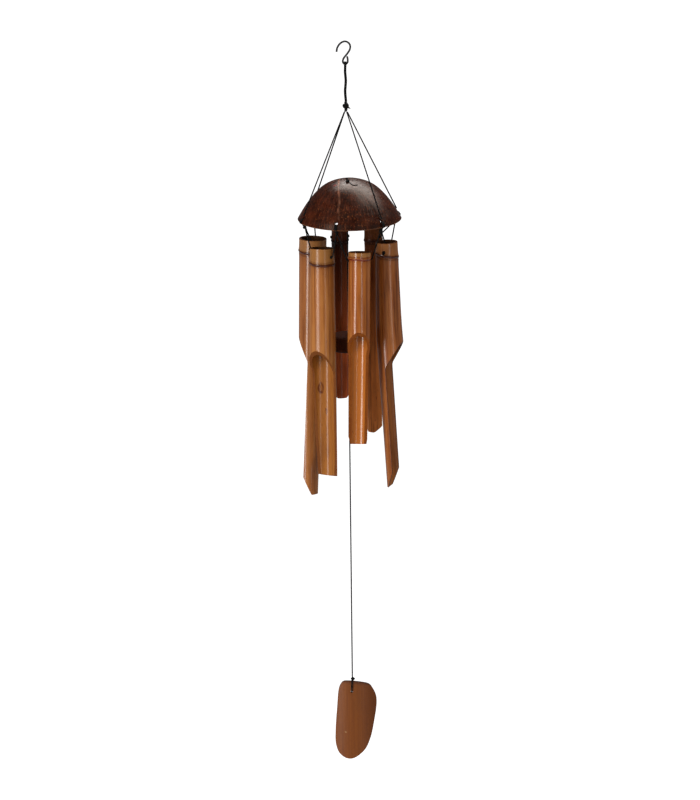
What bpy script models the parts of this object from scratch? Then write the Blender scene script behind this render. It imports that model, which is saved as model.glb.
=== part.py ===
# Bamboo wind chime: a wire hook, a coconut-shell dome on four cords, six bamboo tubes slung round the dome's
# rim, and a clapper and a wind sail on one line down the middle.
# Metres, +Z up. The origin is the seat inside the top of the hook, and the front of the chime faces -Y.
# An angle round the chime is counted from the front, positive towards +X.

import math

import bmesh
import bpy
import numpy as np
from mathutils import Matrix, Vector

for old in list(bpy.data.objects):
    bpy.data.objects.remove(old, do_unlink=True)

# Driving dimensions, in metres and degrees
GAP = 0.00035
CORD = 0.0013
WIRE = 0.002

EYE_BOTTOM = -0.027
LOOP_SPACING = 0.00168
LOOP_BEND = 0.0026
LOOP_LIFT = 0.0001
LOOP_STRAND = ((0.0009, 0.0), (0.0010, 0.015), (0.0018, 0.034))

GATHER_Z = -0.0785
GATHER_RADIUS = 0.0042
GATHER_HALF = 0.006
GATHER_WAIST = 0.14
KNOT_SEGMENTS = 12

DOME_AXIS = (0.0028, 0.0028)
DOME_RIM_Z = -0.2165
DOME_RADIUS = 0.0626
DOME_HEIGHT = 0.0505
DOME_POWER = 2.3
DOME_WALL = 0.0038
DOME_DIP = 0.0013
DOME_DIP_RINGS = (0.014, 0.036)
DOME_RINGS = 11
DOME_SEGMENTS = 40

RIM_HOLES = (-68.5, -15.5, 41, 105, 165, 227.5)
HUNG_HOLES = (0, 5, 2, 3)
RIM_HOLE_RING = 0.059
RIM_HOLE_DIAMETER = 0.0042
SUSPENSION_SPREAD = 0.0019
SUSPENSION_SHORT = 0.0012
TIE_KNOT_RADIUS = 0.0024
TIE_RING = 0.0575
TIE_Z = -0.2208
TIE_HANG = 0.0026
TIE_EDGE = 0.0004
TIE_NUDGE = 0.0003

CROWN = (0.0004, -0.001)
CROWN_HOLE = 0.0034
CROWN_KNOT = (0.0032, 0.0022)

TUBE_WALL = 0.003
TUBE_SEGMENTS = 28
NODE_RISE = 0.0006
NODE_HALF = 0.002
SEPTUM = 0.003
CORD_HOLE = 0.0036
SCOOP_FILLET = 0.012
SCOOP_MARGIN = 0.004
END_TRIM = 0.0002
BEND_RUN = 0.04

# where the sling turns into a tube's hole, as (outwards from the wall, above the hole)
SLING_BENDS = ((0.0034, 0.0046), (0.0024, 0.0013), (-0.0004, 0.0001), (-0.0045, 0.0))
SLING_RUN = 0.55

# Each tube, by the two rim holes that it hangs between. Shape: diameter at the top, the scoop and the foot,
# length, node and cord hole below the top, the scoop's start and rake, its flat outwards from the axis at
# head and foot, slant and blunt tip of the tongue's end, bend of the tongue outwards. Place: the top's drop
# under the tie knots, its inset from their chord and shift along it, outward lean, sideways tilt, and turn
# of the scoop away from straight out.
TUBES = {
    "tube_1": dict(between=(5, 0), girth=(0.0330, 0.0298, 0.0238), length=0.314, node=0.0150, hole=0.0098,
                   scoop=0.120, rake=27, flat=(0.0002, 0.0037), slant=0.0214, tip=0.0053, bend=0,
                   drop=0.0216, inset=0.0033, shift=-0.0036, lean=1.6, tilt=0, turn=-4.5),
    "tube_2": dict(between=(0, 1), girth=(0.0286, 0.0316, 0.0330), length=0.282, node=0.0183, hole=0.0096,
                   scoop=0.123, rake=31, flat=(-0.0024, -0.0100), slant=0.002, tip=0.001, bend=0,
                   drop=0.0237, inset=0.0045, shift=-0.0022, lean=0.8, tilt=0.5, turn=11.8),
    "tube_3": dict(between=(1, 2), girth=(0.0260, 0.0264, 0.0266), length=0.237, node=0.0062, hole=0.0100,
                   scoop=0.095, rake=31, flat=(-0.0055, -0.0069), slant=0.006, tip=0.001, bend=0,
                   drop=0.0270, inset=0.0038, shift=0.0016, lean=1.0, tilt=-1.35, turn=-13),
    "tube_4": dict(between=(2, 3), girth=(0.0262, 0.0316, 0.0316), length=0.3006, node=0.0158, hole=0.0113,
                   scoop=0.1216, rake=33, flat=(-0.0040, -0.0047), slant=0.020, tip=0.0032, bend=2.7,
                   drop=0.0212, inset=0.0023, shift=0.0004, lean=0.9, tilt=0, turn=0),
    "tube_5": dict(between=(3, 4), girth=(0.0216, 0.0220, 0.0226), length=0.251, node=0.0150, hole=0.0105,
                   scoop=0.102, rake=31, flat=(-0.0015, -0.0015), slant=0.008, tip=0.001, bend=0,
                   drop=0.0140, inset=0.0058, shift=0.0040, lean=0.7, tilt=0, turn=0),
    "tube_6": dict(between=(4, 5), girth=(0.0204, 0.0206, 0.0208), length=0.2085, node=0.0150, hole=0.0105,
                   scoop=0.086, rake=31, flat=(-0.0010, -0.0010), slant=0.005, tip=0.001, bend=0,
                   drop=0.0165, inset=0.0044, shift=-0.0010, lean=1.2, tilt=0, turn=-1.2),
}

CLAPPER_TOP = -0.3574
CLAPPER_THICK = 0.019
CLAPPER_RADIUS = 0.0238
CLAPPER_HOLE = 0.004
CLAPPER_ROUND = 0.005
CLAPPER_SEGMENTS = 36

STOP_KNOT_RADIUS = 0.0026
SAIL_KNOT_Z = -0.7819
SAIL_KNOT_RADIUS = 0.0024
SAIL_TOP = -0.7852
SAIL_THICK = 0.004
SAIL_CURVE = 0.047
SAIL_CURVE_X = 0.003
SAIL_FRONT = -0.0055
SAIL_HOLE = (-0.0008, -0.0128)
SAIL_HOLE_DIAMETER = 0.0042
SAIL_BLANK = (0.01, -0.110)
SAIL_REACH = 0.02
SAIL_SEGMENTS = 72

# route of the hook's wire as (x, z): point, arch, neck and the teardrop eye that closes back on the neck
HOOK_ROUTE = (
    (-0.0103, -0.0116), (-0.0095, -0.0072), (-0.0073, -0.0032), (-0.0040, -0.0002), (0.0, 0.001),
    (0.0032, -0.0001), (0.0054, -0.0024), (0.0062, -0.0056), (0.0054, -0.0095), (0.0034, -0.0128),
    (0.0010, -0.0159), (-0.0014, -0.0190), (-0.0027, -0.0217), (-0.0027, -0.0248), (0.0, EYE_BOTTOM),
    (0.0027, -0.0248), (0.0029, -0.0220), (0.0022, -0.0189),
)

# the sail's outline as (x, z) from the cord and the sail's top: a split of bamboo, trimmed by hand
SAIL_OUTLINE = (
    (-0.0102, 0.0), (0.0192, -0.0037), (0.0245, -0.0105), (0.0284, -0.0200), (0.0290, -0.0290),
    (0.0255, -0.0520), (0.0211, -0.0708), (0.0141, -0.0850), (0.0002, -0.0952), (-0.0089, -0.0949),
    (-0.0171, -0.0883), (-0.0207, -0.0775), (-0.0209, -0.0633), (-0.0188, -0.0341), (-0.0163, -0.0095),
    (-0.0138, -0.0035),
)


# Small tools

def material(name, colour, roughness, metallic=0.0):
    """A Principled material, made once for each name."""
    if name in bpy.data.materials:
        return bpy.data.materials[name]
    made = bpy.data.materials.new(name)
    made.use_nodes = True
    shader = made.node_tree.nodes["Principled BSDF"]
    shader.inputs["Base Color"].default_value = (*colour, 1.0)
    shader.inputs["Roughness"].default_value = roughness
    shader.inputs["Metallic"].default_value = metallic
    return made


def black_wire():
    return material("black_wire", (0.024, 0.024, 0.024), 0.4, 0.8)


def waxed_cord():
    return material("waxed_cord", (0.012, 0.012, 0.012), 0.7)


def coconut_shell():
    return material("coconut_shell", (0.052, 0.014, 0.008), 0.35)


def lacquered_bamboo():
    return material("lacquered_bamboo", (0.27, 0.09, 0.025), 0.35)


def dark_wood():
    return material("dark_wood", (0.012, 0.005, 0.003), 0.5)


def pivot(name, place, parent=None, turn=0.0):
    """An empty on a joint's axis, given in world coordinates and turned about Z."""
    empty = bpy.data.objects.new(name, None)
    empty.empty_display_size = 0.01
    bpy.context.collection.objects.link(empty)
    empty.parent = parent
    empty.location = Vector(place) - (Vector(parent["world"]) if parent else Vector())
    empty.rotation_euler = (0, 0, math.radians(turn))
    empty["world"] = tuple(place)
    return empty


def add(name, data, finish, parent, place=(0, 0, 0), smooth=40):
    """An object for a mesh or curve, placed in its parent's own axes."""
    thing = bpy.data.objects.new(name, data)
    bpy.context.collection.objects.link(thing)
    thing.parent = parent
    thing.location = place
    if finish:
        data.materials.append(finish)
    if isinstance(data, bpy.types.Mesh):
        data.shade_smooth()
        data.set_sharp_from_angle(angle=math.radians(smooth))
    return thing


def lathe(name, profile, segments, closed=False):
    """A mesh turned about Z from (radius, z) points. An open profile starts and ends on the axis."""
    bm = bmesh.new()
    verts = [bm.verts.new((r, 0, z)) for r, z in profile]
    pairs = list(zip(verts, verts[1:] + verts[:1] if closed else verts[1:]))
    edges = [bm.edges.new(pair) for pair in pairs]
    bmesh.ops.spin(bm, geom=verts + edges, axis=(0, 0, 1), cent=(0, 0, 0), angle=2 * math.pi, steps=segments)
    bmesh.ops.remove_doubles(bm, verts=bm.verts, dist=1e-6)
    bmesh.ops.recalc_face_normals(bm, faces=bm.faces)
    mesh = bpy.data.meshes.new(name)
    bm.to_mesh(mesh)
    bm.free()
    return mesh


def prism(name, outline, reach, frame):
    """A closed prism: an outline of (a, b) points along the first two axes of frame, reach long each way."""
    bm = bmesh.new()
    low = [bm.verts.new(frame @ Vector((a, b, -reach))) for a, b in outline]
    face = bm.faces.new(low)
    pushed = bmesh.ops.extrude_face_region(bm, geom=[face])["geom"]
    top = [g for g in pushed if isinstance(g, bmesh.types.BMVert)]
    bmesh.ops.translate(bm, verts=top, vec=frame.to_3x3() @ Vector((0, 0, 2 * reach)))
    bmesh.ops.recalc_face_normals(bm, faces=bm.faces)
    mesh = bpy.data.meshes.new(name)
    bm.to_mesh(mesh)
    bm.free()
    return mesh


def rod(name, radius, reach, direction, sides=12):
    """A cutter's cylinder, centred on its origin and lying along a direction."""
    bm = bmesh.new()
    bmesh.ops.create_cone(bm, cap_ends=True, segments=sides, radius1=radius, radius2=radius, depth=2 * reach)
    turn = Vector((0, 0, 1)).rotation_difference(Vector(direction)).to_matrix()
    bmesh.ops.rotate(bm, verts=bm.verts, cent=(0, 0, 0), matrix=turn)
    mesh = bpy.data.meshes.new(name)
    bm.to_mesh(mesh)
    bm.free()
    return mesh


def cut(thing, cutter, operation="DIFFERENCE"):
    """A Boolean with a cutter that stays out of the model."""
    cutter.hide_render = True
    cutter.display_type = "WIRE"
    step = thing.modifiers.new(cutter.name, "BOOLEAN")
    step.operation = operation
    step.solver = "EXACT"
    step.object = cutter


def smooth_route(points, turn=14.0, longest=0.012):
    """Points on a smooth curve through the route's points, close together only where the curve bends."""
    p = np.array(points, dtype=float)
    p = np.vstack([2 * p[0] - p[1], p, 2 * p[-1] - p[-2]])
    knots = np.concatenate([[0], np.cumsum(np.sqrt(np.linalg.norm(np.diff(p, axis=0), axis=1)))])
    fine = []
    for i in range(1, len(p) - 2):
        k0, k1, k2, k3 = knots[i - 1:i + 3]
        for t in np.linspace(k1, k2, 24, endpoint=False):
            a = [
                p[j] + (p[j + 1] - p[j]) * (t - knots[j]) / (knots[j + 1] - knots[j])
                for j in (i - 1, i, i + 1)
            ]
            b = a[0] + (a[1] - a[0]) * (t - k0) / (k2 - k0)
            c = a[1] + (a[2] - a[1]) * (t - k1) / (k3 - k1)
            fine.append(b + (c - b) * (t - k1) / (k2 - k1))
    fine = np.array(fine + [p[-2]])
    ways = np.diff(fine, axis=0)
    steps = np.linalg.norm(ways, axis=1)
    ways = ways / steps[:, None]
    kept, run, bend = [fine[0]], 0.0, 0.0
    for i in range(1, len(fine) - 1):
        run += steps[i - 1]
        bend += math.degrees(math.acos(np.clip(ways[i - 1] @ ways[i], -1, 1)))
        if run > longest or bend > turn:
            kept.append(fine[i])
            run, bend = 0.0, 0.0
    return kept + [fine[-1]]


def tube_along(name, points, thick, finish, parent):
    """A round cord or wire along a route given in its parent's axes."""
    curve = bpy.data.curves.new(name, "CURVE")
    curve.dimensions = "3D"
    curve.bevel_depth = thick / 2
    curve.bevel_resolution = 2
    curve.render_resolution_u = 0
    curve.use_fill_caps = True
    spline = curve.splines.new("POLY")
    spline.points.add(len(points) - 1)
    for point, at in zip(spline.points, points):
        point.co = (*at, 1.0)
    return add(name, curve, finish, parent)


def knot(name, radius, half, parent, place, waist=0.0):
    """A tight knot as a turned lump, drawn in at the middle by waist where two turns of cord show."""
    rise = np.radians(np.linspace(90, -90, 9))
    profile = [
        (radius * math.cos(a) * (1 - waist * math.exp(-(4 * math.sin(a)) ** 2)), half * math.sin(a))
        for a in rise
    ]
    profile[0] = (0.0, half)
    profile[-1] = (0.0, -half)
    return add(name, lathe(name, profile, KNOT_SEGMENTS), waxed_cord(), parent, place, smooth=60)


def round_at(radius, angle):
    """The place at an angle round the dome's axis."""
    a = math.radians(angle)
    return DOME_AXIS[0] + radius * math.sin(a), DOME_AXIS[1] - radius * math.cos(a)


def dome_z(radius):
    """Height of the dome's outer face at a distance from its axis: a rounded cap, sanded flatter on top."""
    inner, outer = DOME_DIP_RINGS
    part = min(max((radius - inner) / (outer - inner), 0), 1)
    dip = DOME_DIP * (1 - part ** 2 * (3 - 2 * part))
    return DOME_RIM_Z + DOME_HEIGHT * (1 - (radius / DOME_RADIUS) ** DOME_POWER) - dip


def dome_normal(radius):
    """The outer face's outward direction there, as (away from the axis, up)."""
    step = 1e-5
    fall = (dome_z(max(radius - step, 0)) - dome_z(radius + step)) / (2 * step)
    return fall / math.hypot(fall, 1), 1 / math.hypot(fall, 1)


def dome_point(angle, radius, out):
    """A point out from the middle of the shell's wall, at an outer radius and an angle round the dome."""
    away, up = dome_normal(radius)
    step = out - DOME_WALL / 2
    x, y = round_at(radius + step * away, angle)
    return Vector((x, y, dome_z(radius) + step * up))


# Hook: black wire bent to an open hook above and a closed eye below

def make_hook():
    route = smooth_route([(x, 0, z) for x, z in HOOK_ROUTE])
    return tube_along("hook", route, WIRE, black_wire(), None)


# Hanger: two loops of cord through the hook's eye, gathered in one fat knot

def make_hanger():
    bend_z = EYE_BOTTOM + LOOP_LIFT
    swing = pivot("hanger_swing", (0, 0, EYE_BOTTOM))
    low = GATHER_Z + GATHER_HALF + GAP
    for n, side in ((1, -1), (2, 1)):
        x = side * LOOP_SPACING / 2
        front = [(x, -out, low + up) for out, up in LOOP_STRAND] + [(x, -LOOP_BEND, bend_z)]
        arch = [
            (x, -LOOP_BEND * math.cos(a), bend_z + LOOP_BEND * math.sin(a)) for a in np.radians((30, 60, 90))
        ]
        half = front + arch
        whole = half + [(a, -b, c) for a, b, c in half[-2::-1]]
        route = [Vector(p) - Vector(swing["world"]) for p in smooth_route(whole)]
        tube_along(f"hanger_loop_{n}", route, CORD, waxed_cord(), swing)
    twist = pivot("gather_twist", (0, 0, GATHER_Z), swing)
    knot("gather_knot", GATHER_RADIUS, GATHER_HALF, twist, (0, 0, 0), waist=GATHER_WAIST)
    return twist


# Dome: a coconut-shell cap with six rim holes and a crown hole, on four cords from the gather knot

def cap_profile():
    rings = DOME_RADIUS * np.sin(np.linspace(0, math.pi / 2, DOME_RINGS))
    over = [(r, dome_z(r)) for r in rings]
    inset = []
    for r, z in over:
        away, up = dome_normal(max(r, 1e-6))
        inset.append((r - DOME_WALL * away, z - DOME_WALL * up))
    inner_rim = np.interp(-DOME_RIM_Z, [-z for r, z in inset], [r for r, z in inset])
    under = [(r, z) for r, z in inset if z > DOME_RIM_Z + DOME_WALL / 2]
    over[0] = (0.0, over[0][1])
    under[0] = (0.0, under[0][1])
    return [(r, z - DOME_RIM_Z) for r, z in over + [(float(inner_rim), DOME_RIM_Z)] + under[::-1]]


def make_dome(parent):
    swing = pivot("dome_swing", (0, 0, GATHER_Z), parent)
    home = Vector(swing["world"])
    centre = Vector((*DOME_AXIS, DOME_RIM_Z)) - home
    shell = lathe("coconut_dome", cap_profile(), DOME_SEGMENTS)
    dome = add("coconut_dome", shell, coconut_shell(), swing, centre)
    for n, angle in enumerate(RIM_HOLES, 1):
        middle = dome_point(angle, RIM_HOLE_RING, 0)
        outwards = dome_point(angle, RIM_HOLE_RING, DOME_WALL) - middle
        name = f"rim_hole_{n}"
        bit = rod(name, RIM_HOLE_DIAMETER / 2, 2 * DOME_WALL, outwards)
        drill = add(name, bit, None, swing, middle - home)
        cut(dome, drill)
        make_tie(n, angle, swing)
    crown_z = crown_surface_z() - DOME_WALL / 2
    bit = rod("crown_hole", CROWN_HOLE / 2, 2 * DOME_WALL, (0, 0, 1))
    drill = add("crown_hole", bit, None, swing, Vector((*CROWN, crown_z)) - home)
    cut(dome, drill)
    for n, hole in enumerate(HUNG_HOLES, 1):
        make_suspension_cord(n, RIM_HOLES[hole], swing)
    knot("crown_knot", *CROWN_KNOT, swing, Vector((*CROWN, crown_knot_z())) - home)
    return swing


def crown_surface_z():
    return dome_z(math.hypot(CROWN[0] - DOME_AXIS[0], CROWN[1] - DOME_AXIS[1]))


def crown_knot_z():
    return crown_surface_z() + CROWN_KNOT[1] + 2 * GAP


def make_suspension_cord(n, angle, parent):
    a = math.radians(angle)
    top_z = GATHER_Z - GATHER_HALF - 2 * GAP
    start = Vector((SUSPENSION_SPREAD * math.sin(a), -SUSPENSION_SPREAD * math.cos(a), top_z))
    clear = DOME_WALL / 2 + CORD / 2 + 1.3 * GAP
    end = dome_point(angle, RIM_HOLE_RING - SUSPENSION_SHORT, clear)
    home = Vector(parent["world"])
    taut = [Vector(p) - home for p in smooth_route([start, end], longest=0.03)]
    tube_along(f"suspension_cord_{n}", taut, CORD, waxed_cord(), parent)


# Rim tie: a loop of cord through a rim hole and round the shell's edge, closed by a knot just under the rim

def make_tie(n, angle, parent):
    home = Vector(parent["world"])
    x, y = round_at(TIE_RING, angle)
    middle = Vector((x, y, TIE_Z))
    knot(f"tie_knot_{n}", TIE_KNOT_RADIUS, TIE_KNOT_RADIUS, parent, middle - home)
    clear = DOME_WALL / 2 + CORD / 2 + GAP
    away, up = dome_normal(RIM_HOLE_RING)
    arch = [
        dome_point(angle, RIM_HOLE_RING + up * clear * (0.7 - math.sin(a)), clear * math.cos(a))
        for a in np.radians((0, 30, 60, 90, 120, 150, 180))
    ]
    a = math.radians(angle)
    outwards = Vector((math.sin(a), -math.cos(a), 0))
    reach = TIE_KNOT_RADIUS + GAP
    nudge = Vector((0, 0, TIE_NUDGE))
    edge = dome_point(angle, DOME_RADIUS - TIE_EDGE, clear + TIE_NUDGE)
    under = middle + outwards * (reach + TIE_HANG) - 0.7 * nudge
    inner = middle + Vector((0, 0, reach)) - outwards * TIE_NUDGE
    outside = [middle + outwards * reach - nudge, under, edge]
    route = smooth_route(outside + arch + [inner], turn=22)
    tube_along(f"rim_loop_{n}", [Vector(p) - home for p in route], CORD, waxed_cord(), parent)


# Tube: a bamboo tube closed by its septum under an open mouth, scooped to a tongue on its outer side

def tube_radius(d, depth):
    return float(np.interp(depth, (0, d["scoop"], d["length"]), d["girth"])) / 2


def tube_bow(d, depth):
    """How far the tongue's bend has carried the tube outwards at a depth below its top."""
    run = max(0.0, depth - d["scoop"] + BEND_RUN)
    slope = math.tan(math.radians(d["bend"]))
    return slope * (run ** 2 / (2 * BEND_RUN) if run < BEND_RUN else run - BEND_RUN / 2)


def tube_profile(d):
    node = d["node"]
    shelf = node - SEPTUM / 2
    ceiling = node + SEPTUM / 2
    run = [d["scoop"] - BEND_RUN * part for part in (1, 0.75, 0.5, 0.25)] if d["bend"] else []
    wall = run + [d["scoop"], d["length"]]
    girth = tube_radius(d, node)
    ring = [(girth, node - NODE_HALF), (girth + NODE_RISE, node), (girth, node + NODE_HALF)]
    outer = [(tube_radius(d, 0), 0)] + ring
    outer += [(tube_radius(d, depth), depth) for depth in wall]
    bore = [(tube_radius(d, depth) - TUBE_WALL, depth) for depth in wall[::-1] + [ceiling]]
    mouth = [(tube_radius(d, depth) - TUBE_WALL, depth) for depth in (shelf, 0)]
    return [(r, -depth) for r, depth in [(0, shelf)] + mouth + outer + bore + [(0, ceiling)]]


def scoop_outline(d):
    """Side view of what the scoop and the slanted end take away, as (outwards, z) from the tube's top."""
    head, foot = d["flat"]
    length = d["length"]
    radius = tube_radius(d, d["scoop"])
    back = tube_radius(d, length)
    wide = max(d["girth"]) / 2 + SCOOP_MARGIN
    lean = math.radians(d["rake"])
    corner = d["scoop"] + (radius - head) / math.tan(lean)
    centre = (head + SCOOP_FILLET, corner + SCOOP_FILLET * math.tan(lean / 2))
    arc = [
        (centre[0] - SCOOP_FILLET * math.cos(a), centre[1] - SCOOP_FILLET * math.sin(a))
        for a in np.linspace(lean, 0, 5)
    ]
    first = (wide, d["scoop"] - (wide - radius) / math.tan(lean))
    end = length - END_TRIM
    trim = [(foot, length - d["slant"]), (d["tip"] - back, end), (-wide, end)]
    below = length + SCOOP_MARGIN
    side = [first] + arc + trim + [(-wide, below), (wide, below)]
    return [(out + tube_bow(d, depth), -depth) for out, depth in side]


def make_tube(name, d, parent):
    first, last = (RIM_HOLES[hole] for hole in d["between"])
    spread = math.radians((last - first) % 360 / 2)
    at = first + math.degrees(spread)
    x, y = round_at(TIE_RING * math.cos(spread), at)
    swing = pivot(f"{name}_swing", (x, y, TIE_Z), parent, at)
    mesh = lathe(name, tube_profile(d), TUBE_SEGMENTS)
    for vert in mesh.vertices:
        vert.co.y -= tube_bow(d, -vert.co.z)
    tube = add(name, mesh, lacquered_bamboo(), swing)
    place = Matrix.Translation((d["shift"], d["inset"], -d["drop"]))
    place = place @ Matrix.Rotation(math.radians(-d["lean"]), 4, "X")
    place = place @ Matrix.Rotation(math.radians(-d["tilt"]), 4, "Y")
    side_view = Matrix(((0, 0, 1, 0), (-1, 0, 0, 0), (0, 1, 0, 0), (0, 0, 0, 1)))
    reach = max(d["girth"])
    scoop = add(f"{name}_scoop", prism(f"{name}_scoop", scoop_outline(d), reach, side_view), None, swing)
    drill = add(f"{name}_drill", rod(f"{name}_drill", CORD_HOLE / 2, reach, (1, 0, 0)), None, swing)
    tube.matrix_local = place
    scoop.matrix_local = place @ Matrix.Rotation(math.radians(d["turn"]), 4, "Z")
    drill.matrix_local = place @ Matrix.Translation((0, 0, -d["hole"]))
    cut(tube, scoop)
    cut(tube, drill)
    make_sling(name, d, TIE_RING * math.sin(spread), place, swing)


# Sling: one cord from a tie knot through the tube's two holes and up to the next tie knot

def make_sling(name, d, half, place, parent):
    hole = place @ Vector((0, 0, -d["hole"]))
    wall = tube_radius(d, d["hole"])

    def strand(side):
        knot_at = Vector((side * half, 0, 0))
        bends = [hole + Vector((side * (wall + out), 0, up)) for out, up in SLING_BENDS]
        start = knot_at + (bends[0] - knot_at).normalized() * (TIE_KNOT_RADIUS + GAP)
        return [start, start.lerp(bends[0], SLING_RUN)] + bends

    route = strand(-1) + [hole] + strand(1)[::-1]
    tube_along(f"sling_{name[-1]}", smooth_route(route), CORD, waxed_cord(), parent)


# Centre line: the clapper hangs on its stop knot, and the sail's cord goes on down from there

def clapper_profile():
    hole = CLAPPER_HOLE / 2
    turn = np.radians((90, 60, 30, 0))
    edge = CLAPPER_RADIUS - CLAPPER_ROUND
    top = [(edge + CLAPPER_ROUND * math.cos(a), -CLAPPER_ROUND * (1 - math.sin(a))) for a in turn]
    low = [(r, -CLAPPER_THICK - z) for r, z in top[::-1]]
    middle = CLAPPER_THICK / 2
    return [(r, z + middle) for r, z in [(hole, 0.0)] + top + low + [(hole, -CLAPPER_THICK)]]


def make_centre_line(parent):
    crown = Vector((*CROWN, crown_surface_z() - DOME_WALL / 2))
    swing = pivot("centre_swing", crown, parent)
    clapper_foot = CLAPPER_TOP - CLAPPER_THICK
    stop_z = clapper_foot - GAP - STOP_KNOT_RADIUS
    cord_top = crown_knot_z() - CROWN_KNOT[1] - GAP
    route = [(0, 0, cord_top - crown.z), (0, 0, clapper_foot - crown.z)]
    tube_along("centre_cord", smooth_route(route), CORD, waxed_cord(), swing)
    knot("stop_knot", STOP_KNOT_RADIUS, STOP_KNOT_RADIUS, swing, (0, 0, stop_z - crown.z))
    tilt = pivot("clapper_tilt", (*CROWN, CLAPPER_TOP - CLAPPER_THICK / 2), swing)
    add("clapper", lathe("clapper", clapper_profile(), CLAPPER_SEGMENTS, closed=True), dark_wood(), tilt)
    line = pivot("sail_line_swing", (*CROWN, stop_z), swing)
    top = -STOP_KNOT_RADIUS - GAP
    foot = SAIL_KNOT_Z + SAIL_KNOT_RADIUS + GAP - stop_z
    route = smooth_route([(0, 0, top), (0, 0, foot)], longest=0.02)
    tube_along("sail_cord", route, CORD, waxed_cord(), line)
    make_sail(line)


# Sail: a curved split of bamboo that hangs from a loop through its hole

def make_sail(parent):
    home = Vector((*CROWN, SAIL_KNOT_Z))
    twist = pivot("sail_twist", home, parent)
    knot("sail_knot", SAIL_KNOT_RADIUS, SAIL_KNOT_RADIUS, twist, (0, 0, 0))
    flap = pivot("sail_flap", home, twist)
    top = SAIL_TOP - SAIL_KNOT_Z
    back = SAIL_FRONT + SAIL_CURVE
    hollow = SAIL_CURVE - SAIL_THICK
    ring = [(SAIL_CURVE, z) for z in SAIL_BLANK] + [(hollow, z) for z in SAIL_BLANK[::-1]]
    culm = lathe("sail", ring, SAIL_SEGMENTS, closed=True)
    sail = add("sail", culm, lacquered_bamboo(), flap, (SAIL_CURVE_X, back, top))
    face_view = Matrix(((1, 0, 0, 0), (0, 0, -1, 0), (0, 1, 0, 0), (0, 0, 0, 1)))
    blade = prism("sail_blank", SAIL_OUTLINE, SAIL_REACH, face_view)
    blank = add("sail_blank", blade, None, flap, (0, 0, top))
    cut(sail, blank, "INTERSECT")
    hole_x, hole_z = SAIL_HOLE
    bit = rod("sail_hole", SAIL_HOLE_DIAMETER / 2, SAIL_REACH, (0, 1, 0))
    drill = add("sail_hole", bit, None, flap, (hole_x, 0, top + hole_z))
    cut(sail, drill)
    edge = SAIL_KNOT_RADIUS + GAP
    near = SAIL_FRONT - CORD / 2 - GAP
    far = SAIL_FRONT + SAIL_THICK + CORD / 2 + GAP
    middle = (near + far) / 2
    bend = (far - near) / 2
    low = top + hole_z
    arch = [
        (hole_x, middle - bend * math.cos(a), low + bend * (1 - math.sin(a)) - 0.0005)
        for a in np.radians((0, 45, 90, 135, 180))
    ]
    front = [(-0.0002, -edge, -0.0004), (-0.0004, near - 0.0002, -0.0034), (hole_x, near, low + 2 * bend)]
    rear = [(hole_x, far, low + 2 * bend), (-0.0002, far, -0.0045), (0, 0.0004, -edge)]
    tube_along("sail_loop", smooth_route(front + arch + rear, turn=22), CORD, waxed_cord(), flap)


make_hook()
dome_swing = make_dome(make_hanger())
for tube_name, sizes in TUBES.items():
    make_tube(tube_name, sizes, dome_swing)
make_centre_line(dome_swing)
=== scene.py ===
from functools import partial
from math import cos, degrees, hypot, pi, radians, sin, sqrt, tan

import bmesh
import bpy
import numpy as np
from mathutils import Matrix, Vector


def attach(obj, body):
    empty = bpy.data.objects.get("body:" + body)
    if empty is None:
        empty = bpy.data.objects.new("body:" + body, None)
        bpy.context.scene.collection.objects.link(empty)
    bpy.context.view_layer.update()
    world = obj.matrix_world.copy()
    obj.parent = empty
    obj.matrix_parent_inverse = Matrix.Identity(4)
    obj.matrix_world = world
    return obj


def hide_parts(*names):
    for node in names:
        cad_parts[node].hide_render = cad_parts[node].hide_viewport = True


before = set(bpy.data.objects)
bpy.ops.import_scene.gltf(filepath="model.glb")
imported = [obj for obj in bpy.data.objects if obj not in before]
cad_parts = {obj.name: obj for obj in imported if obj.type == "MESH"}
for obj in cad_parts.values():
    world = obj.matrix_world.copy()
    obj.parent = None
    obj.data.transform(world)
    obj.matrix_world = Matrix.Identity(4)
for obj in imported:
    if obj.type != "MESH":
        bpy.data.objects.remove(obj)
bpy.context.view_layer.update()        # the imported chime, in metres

scene = bpy.context.scene
scene.view_settings.view_transform = "Standard"
print("frame loaded:", len(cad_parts), "nodes")


def linear(code):  # sRGB hex to linear
    parts = [int(code[i:i + 2], 16) / 255 for i in (1, 3, 5)]
    return [p / 12.92 if p <= 0.04045 else ((p + 0.055) / 1.055) ** 2.4 for p in parts] + [1.0]


def addNode(tree, kind, inputs=None, **settings):  # one node, its settings, values and links
    node = tree.nodes.new(kind)
    for key, value in settings.items():
        setattr(node, key, value)
    for key, value in (inputs or {}).items():
        if isinstance(value, bpy.types.Node):
            value = value.outputs[0]
        if isinstance(value, bpy.types.NodeSocket):
            tree.links.new(value, node.inputs[key])
        else:
            node.inputs[key].default_value = value
    return node


maths = "ShaderNodeMath"

# camera of the photograph: a long lens from 13 degrees above, turned a little about its own axis
view = {"target": (0.00126, 0.0, -0.4386), "away": 20.0, "down": 13.0, "roll": -0.63, "tall": 0.96, "clip": 80.0}
down = radians(view["down"])
eye = Vector(view["target"]) + view["away"] * Vector((0, -cos(down), sin(down)))
camera = bpy.data.objects.new("camera", bpy.data.cameras.new("camera"))
camera.data.lens = camera.data.sensor_width * view["away"] / view["tall"]
camera.data.clip_end = view["clip"]
facing = (Vector(view["target"]) - eye).to_track_quat("-Z", "Y").to_matrix().to_4x4()
camera.matrix_world = Matrix.Translation(eye) @ facing @ Matrix.Rotation(radians(view["roll"]), 4, "Z")
scene.collection.objects.link(camera)
scene.camera = camera

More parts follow.
